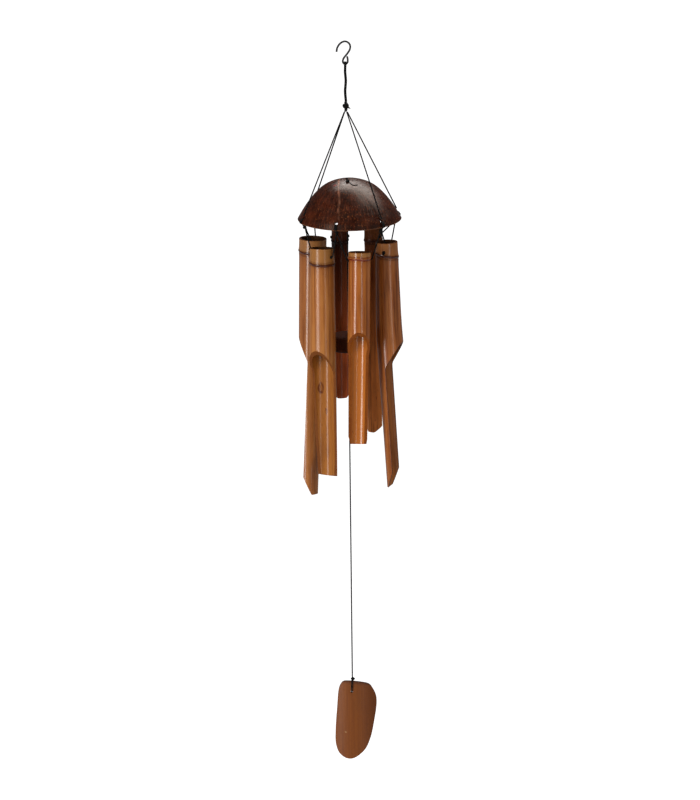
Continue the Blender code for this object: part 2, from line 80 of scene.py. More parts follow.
# plain studio: a tall strip front left, a slim one front right, a soft box above and behind for the dome's sheen
studio = {"ambient": 0.4, "mirror": 0.04, "paper": "#C4C4C4", "floor": -1.5, "floorSide": 60.0, "floorGlow": 0.9,
          "skyReach": (0.0, 0.5), "floorReach": (0.3, 1.5)}
lamps = {
    "stripLeft": {"place": (-1.15, -1.15, -0.25), "aim": (0, 0, -0.45), "size": (0.42, 1.6), "power": 23.0},
    "stripRight": {"place": (0.7, -1.55, -0.25), "aim": (0, 0, -0.45), "size": (0.12, 1.6), "power": 4.8},
    "boxAbove": {"place": (0.34, 0.56, 0.95), "aim": (0, 0, -0.2), "size": (1.7, 1.0), "power": 33.0},
}
for name, lamp in lamps.items():
    light = bpy.data.lights.new(name, "AREA")
    light.shape = "RECTANGLE"
    light.size, light.size_y = lamp["size"]
    light.energy = lamp["power"]
    holder = bpy.data.objects.new(name, light)
    aim = Vector(lamp["aim"]) - Vector(lamp["place"])
    holder.matrix_world = Matrix.Translation(lamp["place"]) @ aim.to_track_quat("-Z", "Y").to_matrix().to_4x4()
    holder.visible_camera = False
    scene.collection.objects.link(holder)

# white for the camera, a faint white behind the object for reflections, a dim room for the rest of the light
scene.world = bpy.data.worlds.new("studio")
scene.world.use_nodes = True
paper = bpy.data.materials.new("matteWhitePaper")  # white sweep: even and matte, keeps a soft shadow
paper.use_nodes = True
paper.node_tree.nodes.clear()
levels = []
for tree, side, (near, far) in ((scene.world.node_tree, "Generated", studio["skyReach"]),
                                (paper.node_tree, "Object", studio["floorReach"])):
    add = partial(addNode, tree)
    rays = add("ShaderNodeLightPath").outputs
    spot = add("ShaderNodeTexCoord").outputs[side]
    deep = add("ShaderNodeSeparateXYZ", {0: spot}).outputs["Y"]
    ranged = {"Value": deep, "From Min": near, "From Max": far, "To Max": studio["mirror"]}
    behind = add("ShaderNodeMapRange", ranged)
    glossy = {0: rays["Is Glossy Ray"], 1: rays["Is Transmission Ray"]}
    glossy = add(maths, glossy, operation="MAXIMUM")
    mirrored = add(maths, {0: glossy, 1: behind}, operation="MULTIPLY")
    seen = add(maths, {0: rays["Is Camera Ray"], 1: mirrored}, operation="MAXIMUM")
    levels.append((seen, glossy))
sky = scene.world.node_tree
add = partial(addNode, sky)
soft = add(maths, {0: 1.0, 1: levels[0][1]}, operation="SUBTRACT")
soft = add(maths, {0: soft, 1: studio["ambient"]}, operation="MULTIPLY")
bright = add(maths, {0: levels[0][0], 1: soft}, operation="MAXIMUM")
sky.nodes["Background"].inputs["Color"].default_value = (1, 1, 1, 1)
sky.links.new(bright.outputs[0], sky.nodes["Background"].inputs["Strength"])
add = partial(addNode, paper.node_tree)
bright = add(maths, {0: levels[1][0], 1: studio["floorGlow"]}, operation="MULTIPLY")
matte = add("ShaderNodeBsdfDiffuse", {"Color": linear(studio["paper"])})
glow = add("ShaderNodeEmission", {"Strength": bright})
both = add("ShaderNodeAddShader", {0: matte, 1: glow})
add("ShaderNodeOutputMaterial", {"Surface": both})
half = studio["floorSide"] / 2
sheet = bpy.data.meshes.new("floor")
corners = ((-half, -half), (half, -half), (half, half), (-half, half))
sheet.from_pydata([(x, y, studio["floor"]) for x, y in corners], [], [(0, 1, 2, 3)])
sheet.materials.append(paper)
floor = bpy.data.objects.new("floor", sheet)
scene.collection.objects.link(floor)
print("camera, lamps and floor set")


socketNames = {"specular": "Specular IOR Level", "tint": "Specular Tint", "coat": "Coat Weight",
               "coatRough": "Coat Roughness"}
noiseLow, noiseHigh = 0.3, 0.7  # nearly all of a noise pattern lies between these


# one builder for every finish: a base colour, noise patterns sized in mm, layers of colour, roughness and bump
def makeFinish(name, base, patterns, layers, rough, bump, follows="object", painted=(), **sockets):
    material = bpy.data.materials.new(name)
    material.use_nodes = True
    tree = material.node_tree
    add = partial(addNode, tree)
    shader = tree.nodes["Principled BSDF"].inputs
    if follows == "object":
        spot = add("ShaderNodeTexCoord").outputs["Object"]
    else:
        spot = add("ShaderNodeAttribute", attribute_name=follows).outputs["Vector"]
    sources = {}
    for label, (size, detail) in patterns.items():
        scaled = add("ShaderNodeMapping", {"Vector": spot, "Scale": [1000 / mm for mm in size]})
        sources[label] = add("ShaderNodeTexNoise", {"Vector": scaled, "Scale": 1.0, "Detail": detail})
    for label in painted:
        sources[label] = add("ShaderNodeAttribute", attribute_name=label).outputs["Fac"]
    colour = linear(base)
    for label, low, high, strength, code in layers:
        ranged = {"Value": sources[label], "From Min": low, "From Max": high, "To Max": strength}
        mixed = {0: add("ShaderNodeMapRange", ranged), 6: colour, 7: linear(code)}
        colour = add("ShaderNodeMix", mixed, data_type="RGBA").outputs[2]
    tree.links.new(colour, shader["Base Color"])
    label, low, high = rough
    ranged = {"Value": sources[label], "From Min": noiseLow, "From Max": noiseHigh, "To Min": low, "To Max": high}
    tree.links.new(add("ShaderNodeMapRange", ranged).outputs[0], shader["Roughness"])
    label, strength, distance = bump
    raised = {"Height": sources[label], "Strength": strength, "Distance": distance}
    tree.links.new(add("ShaderNodeBump", raised).outputs[0], shader["Normal"])
    for key, value in sockets.items():
        shader[socketNames[key]].default_value = value
    return material


# the chime's own sizes, as in the solids
chime = {
    "gap": 0.00035, "cord": 0.0013, "wire": 0.002, "eyeBottom": -0.027, "gatherZ": -0.0785, "gatherHalf": 0.006,
    "domeAxis": (0.0028, 0.0028), "domeRimZ": -0.2165, "domeRadius": 0.0626, "domeHeight": 0.0505,
    "domePower": 2.3, "domeWall": 0.0038, "domeDip": 0.0013, "dipRings": (0.014, 0.036),
    "rimHoles": (-68.5, -15.5, 41, 105, 165, 227.5), "hungHoles": (0, 5, 2, 3),
    "rimHoleRing": 0.059, "rimHole": 0.0042, "tieKnot": 0.0024, "tieRing": 0.0575, "tieZ": -0.2208,
    "crown": (0.0004, -0.001), "crownHole": 0.0034, "clapperTop": -0.3574, "clapperThick": 0.019,
    "stopKnot": 0.0026, "sailKnotZ": -0.7819, "sailKnot": 0.0024, "sailTop": -0.7852,
}
tiny = 1e-6  # keeps a division clear of zero


def rampUp(values, run):  # 0 at zero, 1 from run on
    return np.clip(values / run, 0, 1)


def rampDown(values, run):  # 1 at zero, 0 from run on
    return np.clip(1 - values / run, 0, 1)


def bell(values, middle, half):  # 1 at the middle, soft on both sides
    return np.exp(-((values - middle) / half) ** 2)


def roundAt(radius, bearing):  # a place round the dome's axis, bearing from the front
    a = radians(bearing)
    x, y = chime["domeAxis"]
    return x + radius * sin(a), y - radius * cos(a)


def domeZ(radius):  # a rounded cap, sanded flatter on top
    inner, outer = chime["dipRings"]
    part = float(rampUp(radius - inner, outer - inner))
    dip = chime["domeDip"] * (1 - part ** 2 * (3 - 2 * part))
    cap = chime["domeHeight"] * (1 - (radius / chime["domeRadius"]) ** chime["domePower"])
    return chime["domeRimZ"] + cap - dip


def domeNormal(radius):  # outwards and up
    step = 1e-5
    fall = (domeZ(max(radius - step, 0)) - domeZ(radius + step)) / (2 * step)
    return fall / hypot(fall, 1), 1 / hypot(fall, 1)


def domePoint(bearing, radius, out):  # out from the middle of the shell's wall
    away, up = domeNormal(radius)
    step = out - chime["domeWall"] / 2
    return Vector((*roundAt(radius + step * away, bearing), domeZ(radius) + step * up))


def onDome(x, y, lift):  # a point above the dome's outer face at a plan position
    ax, ay = chime["domeAxis"]
    radius = hypot(x - ax, y - ay)
    away, up = domeNormal(max(radius, tiny))
    scale = 1 + lift * away / max(radius, tiny)
    return Vector((ax + (x - ax) * scale, ay + (y - ay) * scale, domeZ(radius) + lift * up))


def smoothRoute(points, step=0.0006, cuts=24):  # even points on a smooth curve through the route's points
    p = np.array([tuple(q) for q in points], dtype=float)
    p = np.vstack([2 * p[0] - p[1], p, 2 * p[-1] - p[-2]])
    knots = np.concatenate([[0], np.cumsum(np.sqrt(np.linalg.norm(np.diff(p, axis=0), axis=1)))])
    fine = []
    for i in range(1, len(p) - 2):
        k0, k1, k2, k3 = knots[i - 1:i + 3]
        for t in np.linspace(k1, k2, cuts, endpoint=False):
            a = [p[j] + (p[j + 1] - p[j]) * (t - knots[j]) / (knots[j + 1] - knots[j]) for j in (i - 1, i, i + 1)]
            b = a[0] + (a[1] - a[0]) * (t - k0) / (k2 - k0)
            c = a[1] + (a[2] - a[1]) * (t - k1) / (k3 - k1)
            fine.append(b + (c - b) * (t - k1) / (k2 - k1))
    fine = np.array(fine + [p[-2]])
    run = np.concatenate([[0], np.cumsum(np.linalg.norm(np.diff(fine, axis=0), axis=1))])
    at = np.linspace(0, run[-1], max(3, int(round(run[-1] / step)) + 1))
    return np.column_stack([np.interp(at, run, fine[:, k]) for k in range(3)])


def polyline(routes):
    points, edges = [], []
    for route in routes:
        first = len(points)
        points += [tuple(p) for p in route]
        edges += [(i, i + 1) for i in range(first, len(points) - 1)]
    mesh = bpy.data.meshes.new("path")
    mesh.from_pydata(points, edges, [])
    return mesh


def growTree(name, sockets):  # an empty node tree with named inputs
    tree = bpy.data.node_groups.new(name, "GeometryNodeTree")
    for label, kind in sockets.items():
        tree.interface.new_socket(label, in_out="INPUT", socket_type="NodeSocket" + kind)
    tree.interface.new_socket("Made", in_out="OUTPUT", socket_type="NodeSocketGeometry")
    add = partial(addNode, tree)
    return tree, add, add("NodeGroupInput").outputs


def runTree(source, tree, inputs):  # a plain mesh from a node tree
    holder = bpy.data.objects.new("made", source)
    scene.collection.objects.link(holder)
    made = holder.modifiers.new("nodes", "NODES")
    made.node_group = tree
    for item in tree.interface.items_tree:
        if item.in_out == "INPUT" and item.name in inputs:
            made[item.identifier] = inputs[item.name]
    mesh = bpy.data.meshes.new_from_object(holder.evaluated_get(bpy.context.evaluated_depsgraph_get()))
    bpy.data.objects.remove(holder)
    mesh.materials.clear()  # the tree leaves an empty first slot
    mesh.materials.append(inputs["Material"])
    mesh.polygons.foreach_set("material_index", [0] * len(mesh.polygons))
    return mesh


# twisted cord along a path: a lobed ring swept with a steady turn, one lobe for each strand
cordTree, add, given = growTree("twistedCord", {
    "Path": "Geometry", "Diameter": "Float", "Strands": "Int", "Groove": "Float", "Lay": "Float",
    "Step": "Float", "Sides": "Int", "Material": "Material"})
path = add("GeometryNodeMeshToCurve", {"Mesh": given["Path"]})
even = add("GeometryNodeResampleCurve", {"Curve": path, "Length": given["Step"]}, mode="LENGTH")
along = add("GeometryNodeSplineParameter").outputs["Length"]
turns = add(maths, {0: along, 1: given["Lay"]}, operation="DIVIDE")
tilt = add(maths, {0: turns, 1: 2 * pi}, operation="MULTIPLY")
twisted = add("GeometryNodeSetCurveTilt", {"Curve": even, "Tilt": tilt})
ring = {"Resolution": given["Sides"], "Radius": 0.5}
ring = add("GeometryNodeCurvePrimitiveCircle", ring, mode="RADIUS")
spot = add("GeometryNodeInputPosition")
parts = add("ShaderNodeSeparateXYZ", {0: spot}).outputs
angle = add(maths, {0: parts["Y"], 1: parts["X"]}, operation="ARCTAN2")
lobes = add(maths, {0: angle, 1: given["Strands"]}, operation="MULTIPLY")
wave = add(maths, {0: lobes}, operation="COSINE")
rest = add(maths, {0: 1.0, 1: given["Groove"]}, operation="SUBTRACT")
dent = add(maths, {0: wave, 1: given["Groove"], 2: rest}, operation="MULTIPLY_ADD")
reach = add(maths, {0: dent, 1: given["Diameter"]}, operation="MULTIPLY")
lobed = add("ShaderNodeVectorMath", {0: spot, "Scale": reach}, operation="SCALE")
shaped = add("GeometryNodeSetPosition", {"Geometry": ring, "Position": lobed})
swept = {"Curve": twisted, "Profile Curve": shaped, "Fill Caps": True}
swept = add("GeometryNodeCurveToMesh", swept)
real = add("GeometryNodeRealizeInstances", {0: swept})
painted = add("GeometryNodeSetMaterial", {"Geometry": real, "Material": given["Material"]})
add("NodeGroupOutput", {"Made": painted})

# turned piece: every point of a profile (radius, 0, z) is carried round the Z axis
turnTree, add, given = growTree("turnedProfile", {"Profile": "Geometry", "Segments": "Int", "Material": "Material"})
count = add("GeometryNodeAttributeDomainSize", {"Geometry": given["Profile"]}, component="MESH")
columns = add(maths, {0: given["Segments"], 1: 1.0}, operation="ADD")
grid = {"Vertices X": count.outputs["Point Count"], "Vertices Y": columns}
grid = add("GeometryNodeMeshGrid", grid)
index = add("GeometryNodeInputIndex")
row = add(maths, {0: index, 1: columns}, operation="DIVIDE")
row = add(maths, {0: row}, operation="FLOOR")
column = add(maths, {0: index, 1: columns}, operation="MODULO")
share = add(maths, {0: column, 1: given["Segments"]}, operation="DIVIDE")
angle = add(maths, {0: share, 1: 2 * pi}, operation="MULTIPLY")
spot = add("GeometryNodeInputPosition")
taken = {"Geometry": given["Profile"], "Value": spot, "Index": row}
taken = add("GeometryNodeSampleIndex", taken, data_type="FLOAT_VECTOR")
parts = add("ShaderNodeSeparateXYZ", {0: taken}).outputs
places = {"Z": parts["Z"]}
for axis, operation in (("X", "COSINE"), ("Y", "SINE")):
    turned = add(maths, {0: angle}, operation=operation)
    places[axis] = add(maths, {0: turned, 1: parts["X"]}, operation="MULTIPLY")
placed = add("ShaderNodeCombineXYZ", places)
shaped = add("GeometryNodeSetPosition", {"Geometry": grid, "Position": placed})
merged = add("GeometryNodeMergeByDistance", {"Geometry": shaped, "Distance": tiny})
real = add("GeometryNodeRealizeInstances", {0: merged})
painted = add("GeometryNodeSetMaterial", {"Geometry": real, "Material": given["Material"]})
add("NodeGroupOutput", {"Made": painted})


def turnMesh(profile, segments, material):
    source = polyline([[(r, 0.0, z) for r, z in profile]])
    mesh = runTree(source, turnTree, {"Segments": segments, "Material": material})
    bm = bmesh.new()
    bm.from_mesh(mesh)
    bmesh.ops.recalc_face_normals(bm, faces=bm.faces)
    bm.to_mesh(mesh)
    bm.free()
    return mesh


def prism(outline, reach, axes):  # a closed cutter: outline along two axes, reach long each way
    bm = bmesh.new()
    low = [bm.verts.new(axes @ Vector((a, b, -reach))) for a, b in outline]
    pushed = bmesh.ops.extrude_face_region(bm, geom=[bm.faces.new(low)])["geom"]
    top = [g for g in pushed if isinstance(g, bmesh.types.BMVert)]
    bmesh.ops.translate(bm, verts=top, vec=axes.to_3x3() @ Vector((0, 0, 2 * reach)))
    bmesh.ops.recalc_face_normals(bm, faces=bm.faces)
    return bm


def rod(radius, reach, centre, way):  # a drill
    bm = bmesh.new()
    bmesh.ops.create_cone(bm, cap_ends=True, segments=24, radius1=radius, radius2=radius, depth=2 * reach)
    turn = Vector((0, 0, 1)).rotation_difference(Vector(way)).to_matrix().to_4x4()
    bmesh.ops.transform(bm, matrix=Matrix.Translation(centre) @ turn, verts=bm.verts)
    return bm


# Booleans in turn: all take away, unless the first one keeps; the cut faces take a slot of the piece's materials
def carve(mesh, cutters, finish=0, first="DIFFERENCE"):
    holder = bpy.data.objects.new("blank", mesh)
    scene.collection.objects.link(holder)
    tools = []
    for bm in cutters:
        blade = bpy.data.meshes.new("cutter")
        bm.to_mesh(blade)
        bm.free()
        for material in mesh.materials:
            blade.materials.append(material)
        for face in blade.polygons:
            face.material_index = finish
        tools.append(bpy.data.objects.new("cutter", blade))
        scene.collection.objects.link(tools[-1])
        step = holder.modifiers.new("cut", "BOOLEAN")
        step.solver, step.object, step.operation = "EXACT", tools[-1], "DIFFERENCE" if tools[1:] else first
    made = bpy.data.meshes.new_from_object(holder.evaluated_get(bpy.context.evaluated_depsgraph_get()))
    for thing in tools + [holder]:
        bpy.data.objects.remove(thing)
    return made


def readPoints(mesh):
    flat = np.empty(len(mesh.vertices) * 3, dtype=np.float32)
    mesh.vertices.foreach_get("co", flat)
    return flat.reshape(-1, 3).astype(float)


def writePoints(mesh, points):
    mesh.vertices.foreach_set("co", points.astype(np.float32).ravel())
    mesh.update()


def paint(mesh, **marks):  # values for each point, for the finish to read
    for label, values in marks.items():
        kind, field = ("FLOAT_VECTOR", "vector") if values.ndim == 2 else ("FLOAT", "value")
        layer = mesh.attributes.new(label, kind, "POINT")
        layer.data.foreach_set(field, values.astype(np.float32).ravel())


def settle(mesh, name, body, nodes, sharp=35):  # a finished piece on its body
    mesh.name = name
    piece = bpy.data.objects.new(name, mesh)
    scene.collection.objects.link(piece)
    mesh.shade_smooth()
    mesh.set_sharp_from_angle(angle=radians(sharp))
    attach(piece, body)
    if nodes:
        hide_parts(*nodes)
    return piece


# black-coated steel wire, bent cold: near black, a dull sheen and faint draw marks under the coat, drawn coarse
# enough to show
wireFinish = makeFinish(
    "blackCoatedWire", base="#0E0E0F", patterns={"draw": ((0.4, 0.4, 3.0), 3), "patch": ((5, 5, 5), 2)},
    layers=[("patch", 0.45, 0.65, 0.5, "#1C1B1A"), ("draw", 0.55, 0.7, 0.35, "#070708")],
    rough=("draw", 0.4, 0.55), bump=("draw", 0.12, 0.0002), specular=0.35)

# waxed polyester cord, three strands laid together: almost black and matte, a little lighter where it is rubbed.
# its threads are drawn about three times as coarse as real ones, so that they show close up
cordFinish = makeFinish(
    "waxedCord", base="#0B0B0B", patterns={"thread": ((0.35, 0.35, 0.8), 2), "rub": ((3.0, 3.0, 6.0), 3)},
    layers=[("thread", 0.42, 0.68, 0.5, "#191817"), ("rub", 0.5, 0.7, 0.5, "#2A2724")],
    rough=("rub", 0.7, 0.9), bump=("thread", 0.35, 0.0002), specular=0.12)

# the same yarn for every line of the chime, fluffed a little past the solids' cord, and its loose threads
yarn = {"diameter": 1.45 * chime["cord"], "strands": 3, "groove": 0.12, "lay": 0.0042, "step": 0.00055, "sides": 15}
thread = {**yarn, "diameter": 0.00034, "groove": 0.0, "strands": 1, "step": 0.0006, "sides": 5}
knotPoints = 72


def cordMesh(routes, look=yarn, material=cordFinish):
    inputs = {key.capitalize(): value for key, value in look.items()}
    return runTree(polyline(routes), cordTree, {**inputs, "Material": material})


def layCord(name, body, node, route, look=yarn):  # one line of the chime
    piece = settle(cordMesh([route], look), name, body, [node])


# a tight knot: a trefoil of cord inside a box of half sizes, lying across the line
def knotMesh(centre, half, turn, **changes):
    t = np.linspace(0, 2 * pi, knotPoints)
    across = (np.sin(t) + 2 * np.sin(2 * t)) / 3
    high = (np.cos(t) - 2 * np.cos(2 * t)) / 3
    flat = np.column_stack([across * half[0], -np.sin(3 * t) * half[1], high * half[2]])
    spin = np.array(Matrix.Rotation(turn, 3, "Z"))
    return cordMesh([flat @ spin.T + np.array(centre)], {**yarn, **changes})


# a cut end that hangs from a knot and frays into a few threads; sizes are shares of its length
fray = {"droop": 0.35, "middle": (0.5, 0.15), "stray": 0.35, "reach": 0.35, "fall": 0.5, "root": 0.08,
        "jitter": 0.0003, "step": 0.0004}


def tailMeshes(start, way, size, seed, threads):
    draw = np.random.default_rng(seed)
    start, way = np.array(start), np.array(way) / np.linalg.norm(way)
    droop = np.array((0, 0, -fray["droop"] * size))
    along, sag = fray["middle"]
    body = [start, start + way * size * along + droop * sag, start + way * size + droop]
    ends = []
    for _ in range(threads):
        stray = draw.normal(0, fray["stray"], 3)
        tip = body[-1] + (way + stray) * size * fray["reach"] + droop * fray["fall"]
        bent = (body[-1] + tip) / 2 + draw.normal(0, fray["jitter"], 3)
        ends.append([body[-1] - way * size * fray["root"], bent, tip])
    return [cordMesh([smoothRoute(body, fray["step"])]), cordMesh([smoothRoute(end) for end in ends], thread)]


def settleKnot(meshes, name, body, nodes):  # the cords of one knot as one piece
    bm = bmesh.new()
    for mesh in meshes:
        bm.from_mesh(mesh)
        bpy.data.meshes.remove(mesh)
    whole = bpy.data.meshes.new(name)
    bm.to_mesh(whole)
    bm.free()
    whole.materials.clear()
    whole.materials.append(cordFinish)
    settle(whole, name, body, nodes, sharp=60)


# hook: one wire, drawn a little fatter for its coat, open above and with a teardrop eye below
hook = {"coated": 1.15, "step": 0.0004, "sides": 20, "route": (
    (-0.0103, -0.0116), (-0.0095, -0.0072), (-0.0073, -0.0032), (-0.004, -0.0002), (0.0, 0.001),
    (0.0032, -0.0001), (0.0054, -0.0024), (0.0062, -0.0056), (0.0054, -0.0095), (0.0034, -0.0128),
    (0.001, -0.0159), (-0.0014, -0.019), (-0.0027, -0.0217), (-0.0027, -0.0248), (0.0, chime["eyeBottom"]),
    (0.0027, -0.0248), (0.003, -0.0222), (0.0028, -0.0196), (0.0023, -0.0174))}
plainWire = {"diameter": hook["coated"] * chime["wire"], "strands": 1, "groove": 0.0, "lay": 1.0,
             "step": hook["step"], "sides": hook["sides"]}
bent = smoothRoute([(x, 0, z) for x, z in hook["route"]], hook["step"])
settle(cordMesh([bent], plainWire, wireFinish), "wireHook", "hook", ["hook"])
print("hook made")

# hanger: two wavy loops of cord, pressed together in the hook's eye, down to the gather knot
hanger = {"apart": 0.0007056, "bend": 0.0026, "lift": 0.0001, "yarn": {**yarn, "diameter": 1.5 * chime["cord"]},
          "strand": ((0.0003, -0.0009, 0.0), (-0.0005, -0.001, 0.012), (0.0004, -0.0014, 0.025),
                     (-0.0003, -0.002, 0.036))}
low = chime["gatherZ"] + chime["gatherHalf"] + chime["gap"]
bendZ = chime["eyeBottom"] + hanger["lift"]
bow = hanger["bend"]
for n, side in ((1, -1), (2, 1)):
    x = side * hanger["apart"]
    strand = [(x + across, ahead, low + up) for across, ahead, up in hanger["strand"]]
    strand += [(x, -bow * cos(a), bendZ + bow * sin(a)) for a in np.radians((0, 30, 60, 90))]
    route = smoothRoute(strand + [(a, -b, c) for a, b, c in strand[-2::-1]])
    layCord(f"hangerLoop{n}", "hanger", f"hanger_loop_{n}", route, look=hanger["yarn"])
print("hanger loops made")

# gather knot: a fat knot round two short thick hearts, with one frayed tail.
# knot: half sizes and turn. tail: way, length, seed and threads
gather = {"knot": ((0.0026, 0.0022, 0.0048), 0.4), "yarn": {"diameter": 0.0026, "lay": 0.006, "groove": 0.1},
          "hearts": ((0.0052, 0.0042), (0.0062, 0.0034)), "heartBow": 0.0004, "tailFrom": (0.0022, -0.0018, -0.001),
          "tail": ((0.9, -0.4, 0.15), 0.0026, 3, 6)}
home = np.array((0.0, 0.0, chime["gatherZ"]))
meshes = [knotMesh(home, *gather["knot"], **gather["yarn"])]
for half, wide in gather["hearts"]:
    core = [home + (out, 0, up) for out, up in ((0, -half), (gather["heartBow"], 0), (0, half))]
    meshes.append(cordMesh([smoothRoute(core)], {**yarn, **gather["yarn"], "diameter": wide}))
meshes += tailMeshes(home + gather["tailFrom"], *gather["tail"])
settleKnot(meshes, "gatherKnot", "gather", ["gather_knot"])

# suspension cords: straight and taut from a small ring under the gather knot to four rim holes
hung = {"ring": 0.0019, "below": chime["gatherHalf"] + 2 * chime["gap"], "footIn": 0.0012, "footUp": 0.0001}
clear = chime["domeWall"] / 2 + chime["cord"] / 2 + chime["gap"]
for n, hole in enumerate(chime["hungHoles"], 1):
    bearing = chime["rimHoles"][hole]
    a = radians(bearing)
    top = Vector((hung["ring"] * sin(a), -hung["ring"] * cos(a), home[2] - hung["below"]))
    foot = domePoint(bearing, chime["rimHoleRing"] - hung["footIn"], clear + hung["footUp"])
    route = smoothRoute([top, top.lerp(foot, 0.5), foot])
    layCord(f"suspensionCord{n}", "dome", f"suspension_cord_{n}", route)
print("gather knot and suspension cords made")

# coconut shell, sanded and oiled: dark red-brown, a pale seam, orange clouds, short fibre flecks, a broad soft sheen
shellFinish = makeFinish(
    "oiledCoconutShell", base="#260B04", follows="shell", painted=("rimWear", "chip", "seam", "warm"),
    patterns={"cloud": ((22, 22, 16), 3), "fibre": ((1.3, 1.3, 16), 3), "fleck": ((1.1, 1.1, 3.2), 2),
              "patch": ((7, 7, 6), 3)},
    layers=[("cloud", 0.48, 0.68, 0.38, "#4E1E0C"), ("cloud", 0.5, 0.32, 0.6, "#220C05"),
            ("warm", 0.1, 1.0, 0.3, "#62280A"), ("seam", 0.1, 1.0, 0.75, "#96624A"),
            ("fibre", 0.5, 0.68, 0.4, "#5E2A18"), ("fibre", 0.45, 0.3, 0.5, "#1E0A05"),
            ("fleck", 0.61, 0.7, 0.5, "#8A4A22"), ("rimWear", 0.2, 1.0, 0.55, "#8A5228"),
            ("chip", 0.3, 0.6, 0.95, "#6A160C")],
    rough=("patch", 0.26, 0.42), bump=("fibre", 0.2, 0.0006), specular=0.38, tint=(1.0, 0.82, 0.66, 1.0))

# dome: turned, then made uneven by waves as (count, phase, share); marks are painted on for the finish
dome = {"rows": 64, "segments": 160, "edge": 0.0006, "edgeRound": 0.7, "edgeInner": 1.5,
        "lip": (0.0002, 0.0006, 0.0005), "wobble": 0.00035, "waves": ((3, 0.6, 1.0), (5, 2.1, 0.6), (2, -1.0, 0.5)),
        "sag": 0.0016, "sagFrom": 0.006,
        "fibreTurn": 0.7, "wear": 0.0014, "chip": (-0.0138, -0.0132, 0.0026, 0.0018), "warmHigh": 0.009,
        "warm": ((-55, 8, 0.007), (-20, 9, 0.007), (20, 7, 0.006))}
seam = {"x": -0.0094, "wide": 0.0012, "from": 0.003, "fade": 0.02, "beat": (0.3, 700), "ripple": (0.0007, 260),
        "drift": (0.02, 0.03)}
rimZ, shellWall = chime["domeRimZ"], chime["domeWall"]
over = [(r, domeZ(r)) for r in chime["domeRadius"] * np.sin(np.linspace(0, pi / 2, dome["rows"]))]
inset = []
for r, z in over:
    away, up = domeNormal(max(r, tiny))
    inset.append((r - shellWall * away, z - shellWall * up))
innerRim = float(np.interp(-rimZ, [-z for r, z in inset], [r for r, z in inset]))
over = [p for p in over if p[1] > rimZ + dome["edge"]]
under = [p for p in inset if p[1] > rimZ + dome["edge"] * dome["edgeInner"]]
rounded, flattened, innerFlat = dome["lip"]
lip = [(chime["domeRadius"] - rounded, rimZ + dome["edge"] * dome["edgeRound"]),
       (chime["domeRadius"] - flattened, rimZ), (innerRim + innerFlat, rimZ), (innerRim, rimZ + dome["edge"])]
mesh = turnMesh(over + lip + under[:0:-1] + [(0.0, under[0][1])], dome["segments"], shellFinish)
points = readPoints(mesh)
around = np.arctan2(points[:, 1], points[:, 0])
radius = np.hypot(points[:, 0], points[:, 1])
swell = sum(share * np.sin(count * around + phase) for count, phase, share in dome["waves"])
swell *= dome["wobble"] * (radius / chime["domeRadius"])
points[:, :2] *= (1 + swell / np.maximum(radius, tiny))[:, None]
# the rim hangs a little lower at the front, below the holes
ahead = np.clip(-points[:, 1] / np.maximum(radius, tiny), 0, 1)
points[:, 2] -= dome["sag"] * ahead * rampDown(points[:, 2] - rimZ, dome["sagFrom"])
points[:, :2] += chime["domeAxis"]
writePoints(mesh, points)
drills = []
for bearing in chime["rimHoles"]:
    middle, outer = (domePoint(bearing, chime["rimHoleRing"], out) for out in (0, shellWall))
    drills.append(rod(chime["rimHole"] / 2, 2 * shellWall, middle, outer - middle))
crownZ = domeZ((Vector(chime["crown"]) - Vector(chime["domeAxis"])).length)
drills.append(rod(chime["crownHole"] / 2, 2 * shellWall, (*chime["crown"], crownZ), (0, 0, 1)))
mesh = carve(mesh, drills)
x, y, z = readPoints(mesh).T
high = z - rimZ
flat = np.column_stack([x, y]) - chime["domeAxis"]
radius = np.hypot(flat[:, 0], flat[:, 1])
unit = flat / np.maximum(radius, tiny)[:, None]
fibres = np.column_stack([unit * chime["domeRadius"] * dome["fibreTurn"], radius - high])
wear = rampDown(high + dome["sag"] * np.clip(-unit[:, 1], 0, 1), dome["wear"])
(deep, often), (ripple, quick), (drift, start) = seam["beat"], seam["ripple"], seam["drift"]
faded = rampUp(high - seam["from"], seam["fade"]) * (flat[:, 1] < 0) * (1 - deep + deep * np.sin(often * high))
wander = seam["x"] + ripple * np.sin(quick * high) + drift * (high - start)
around = np.degrees(np.arctan2(flat[:, 0], -flat[:, 1]))
warm = [bell(around, at, wide) * bell(high, dome["warmHigh"], tall) for at, wide, tall in dome["warm"]]
chipX, chipY, wide, tall = dome["chip"]
paint(mesh, shell=fibres, rimWear=wear, seam=faded * bell(x, wander, seam["wide"]), warm=np.clip(sum(warm), 0, 1),
      chip=bell(x, chipX, wide) * bell(y, chipY, tall))
settle(mesh, "coconutDome", "dome", ["coconut_dome"], sharp=40)
print("dome made")

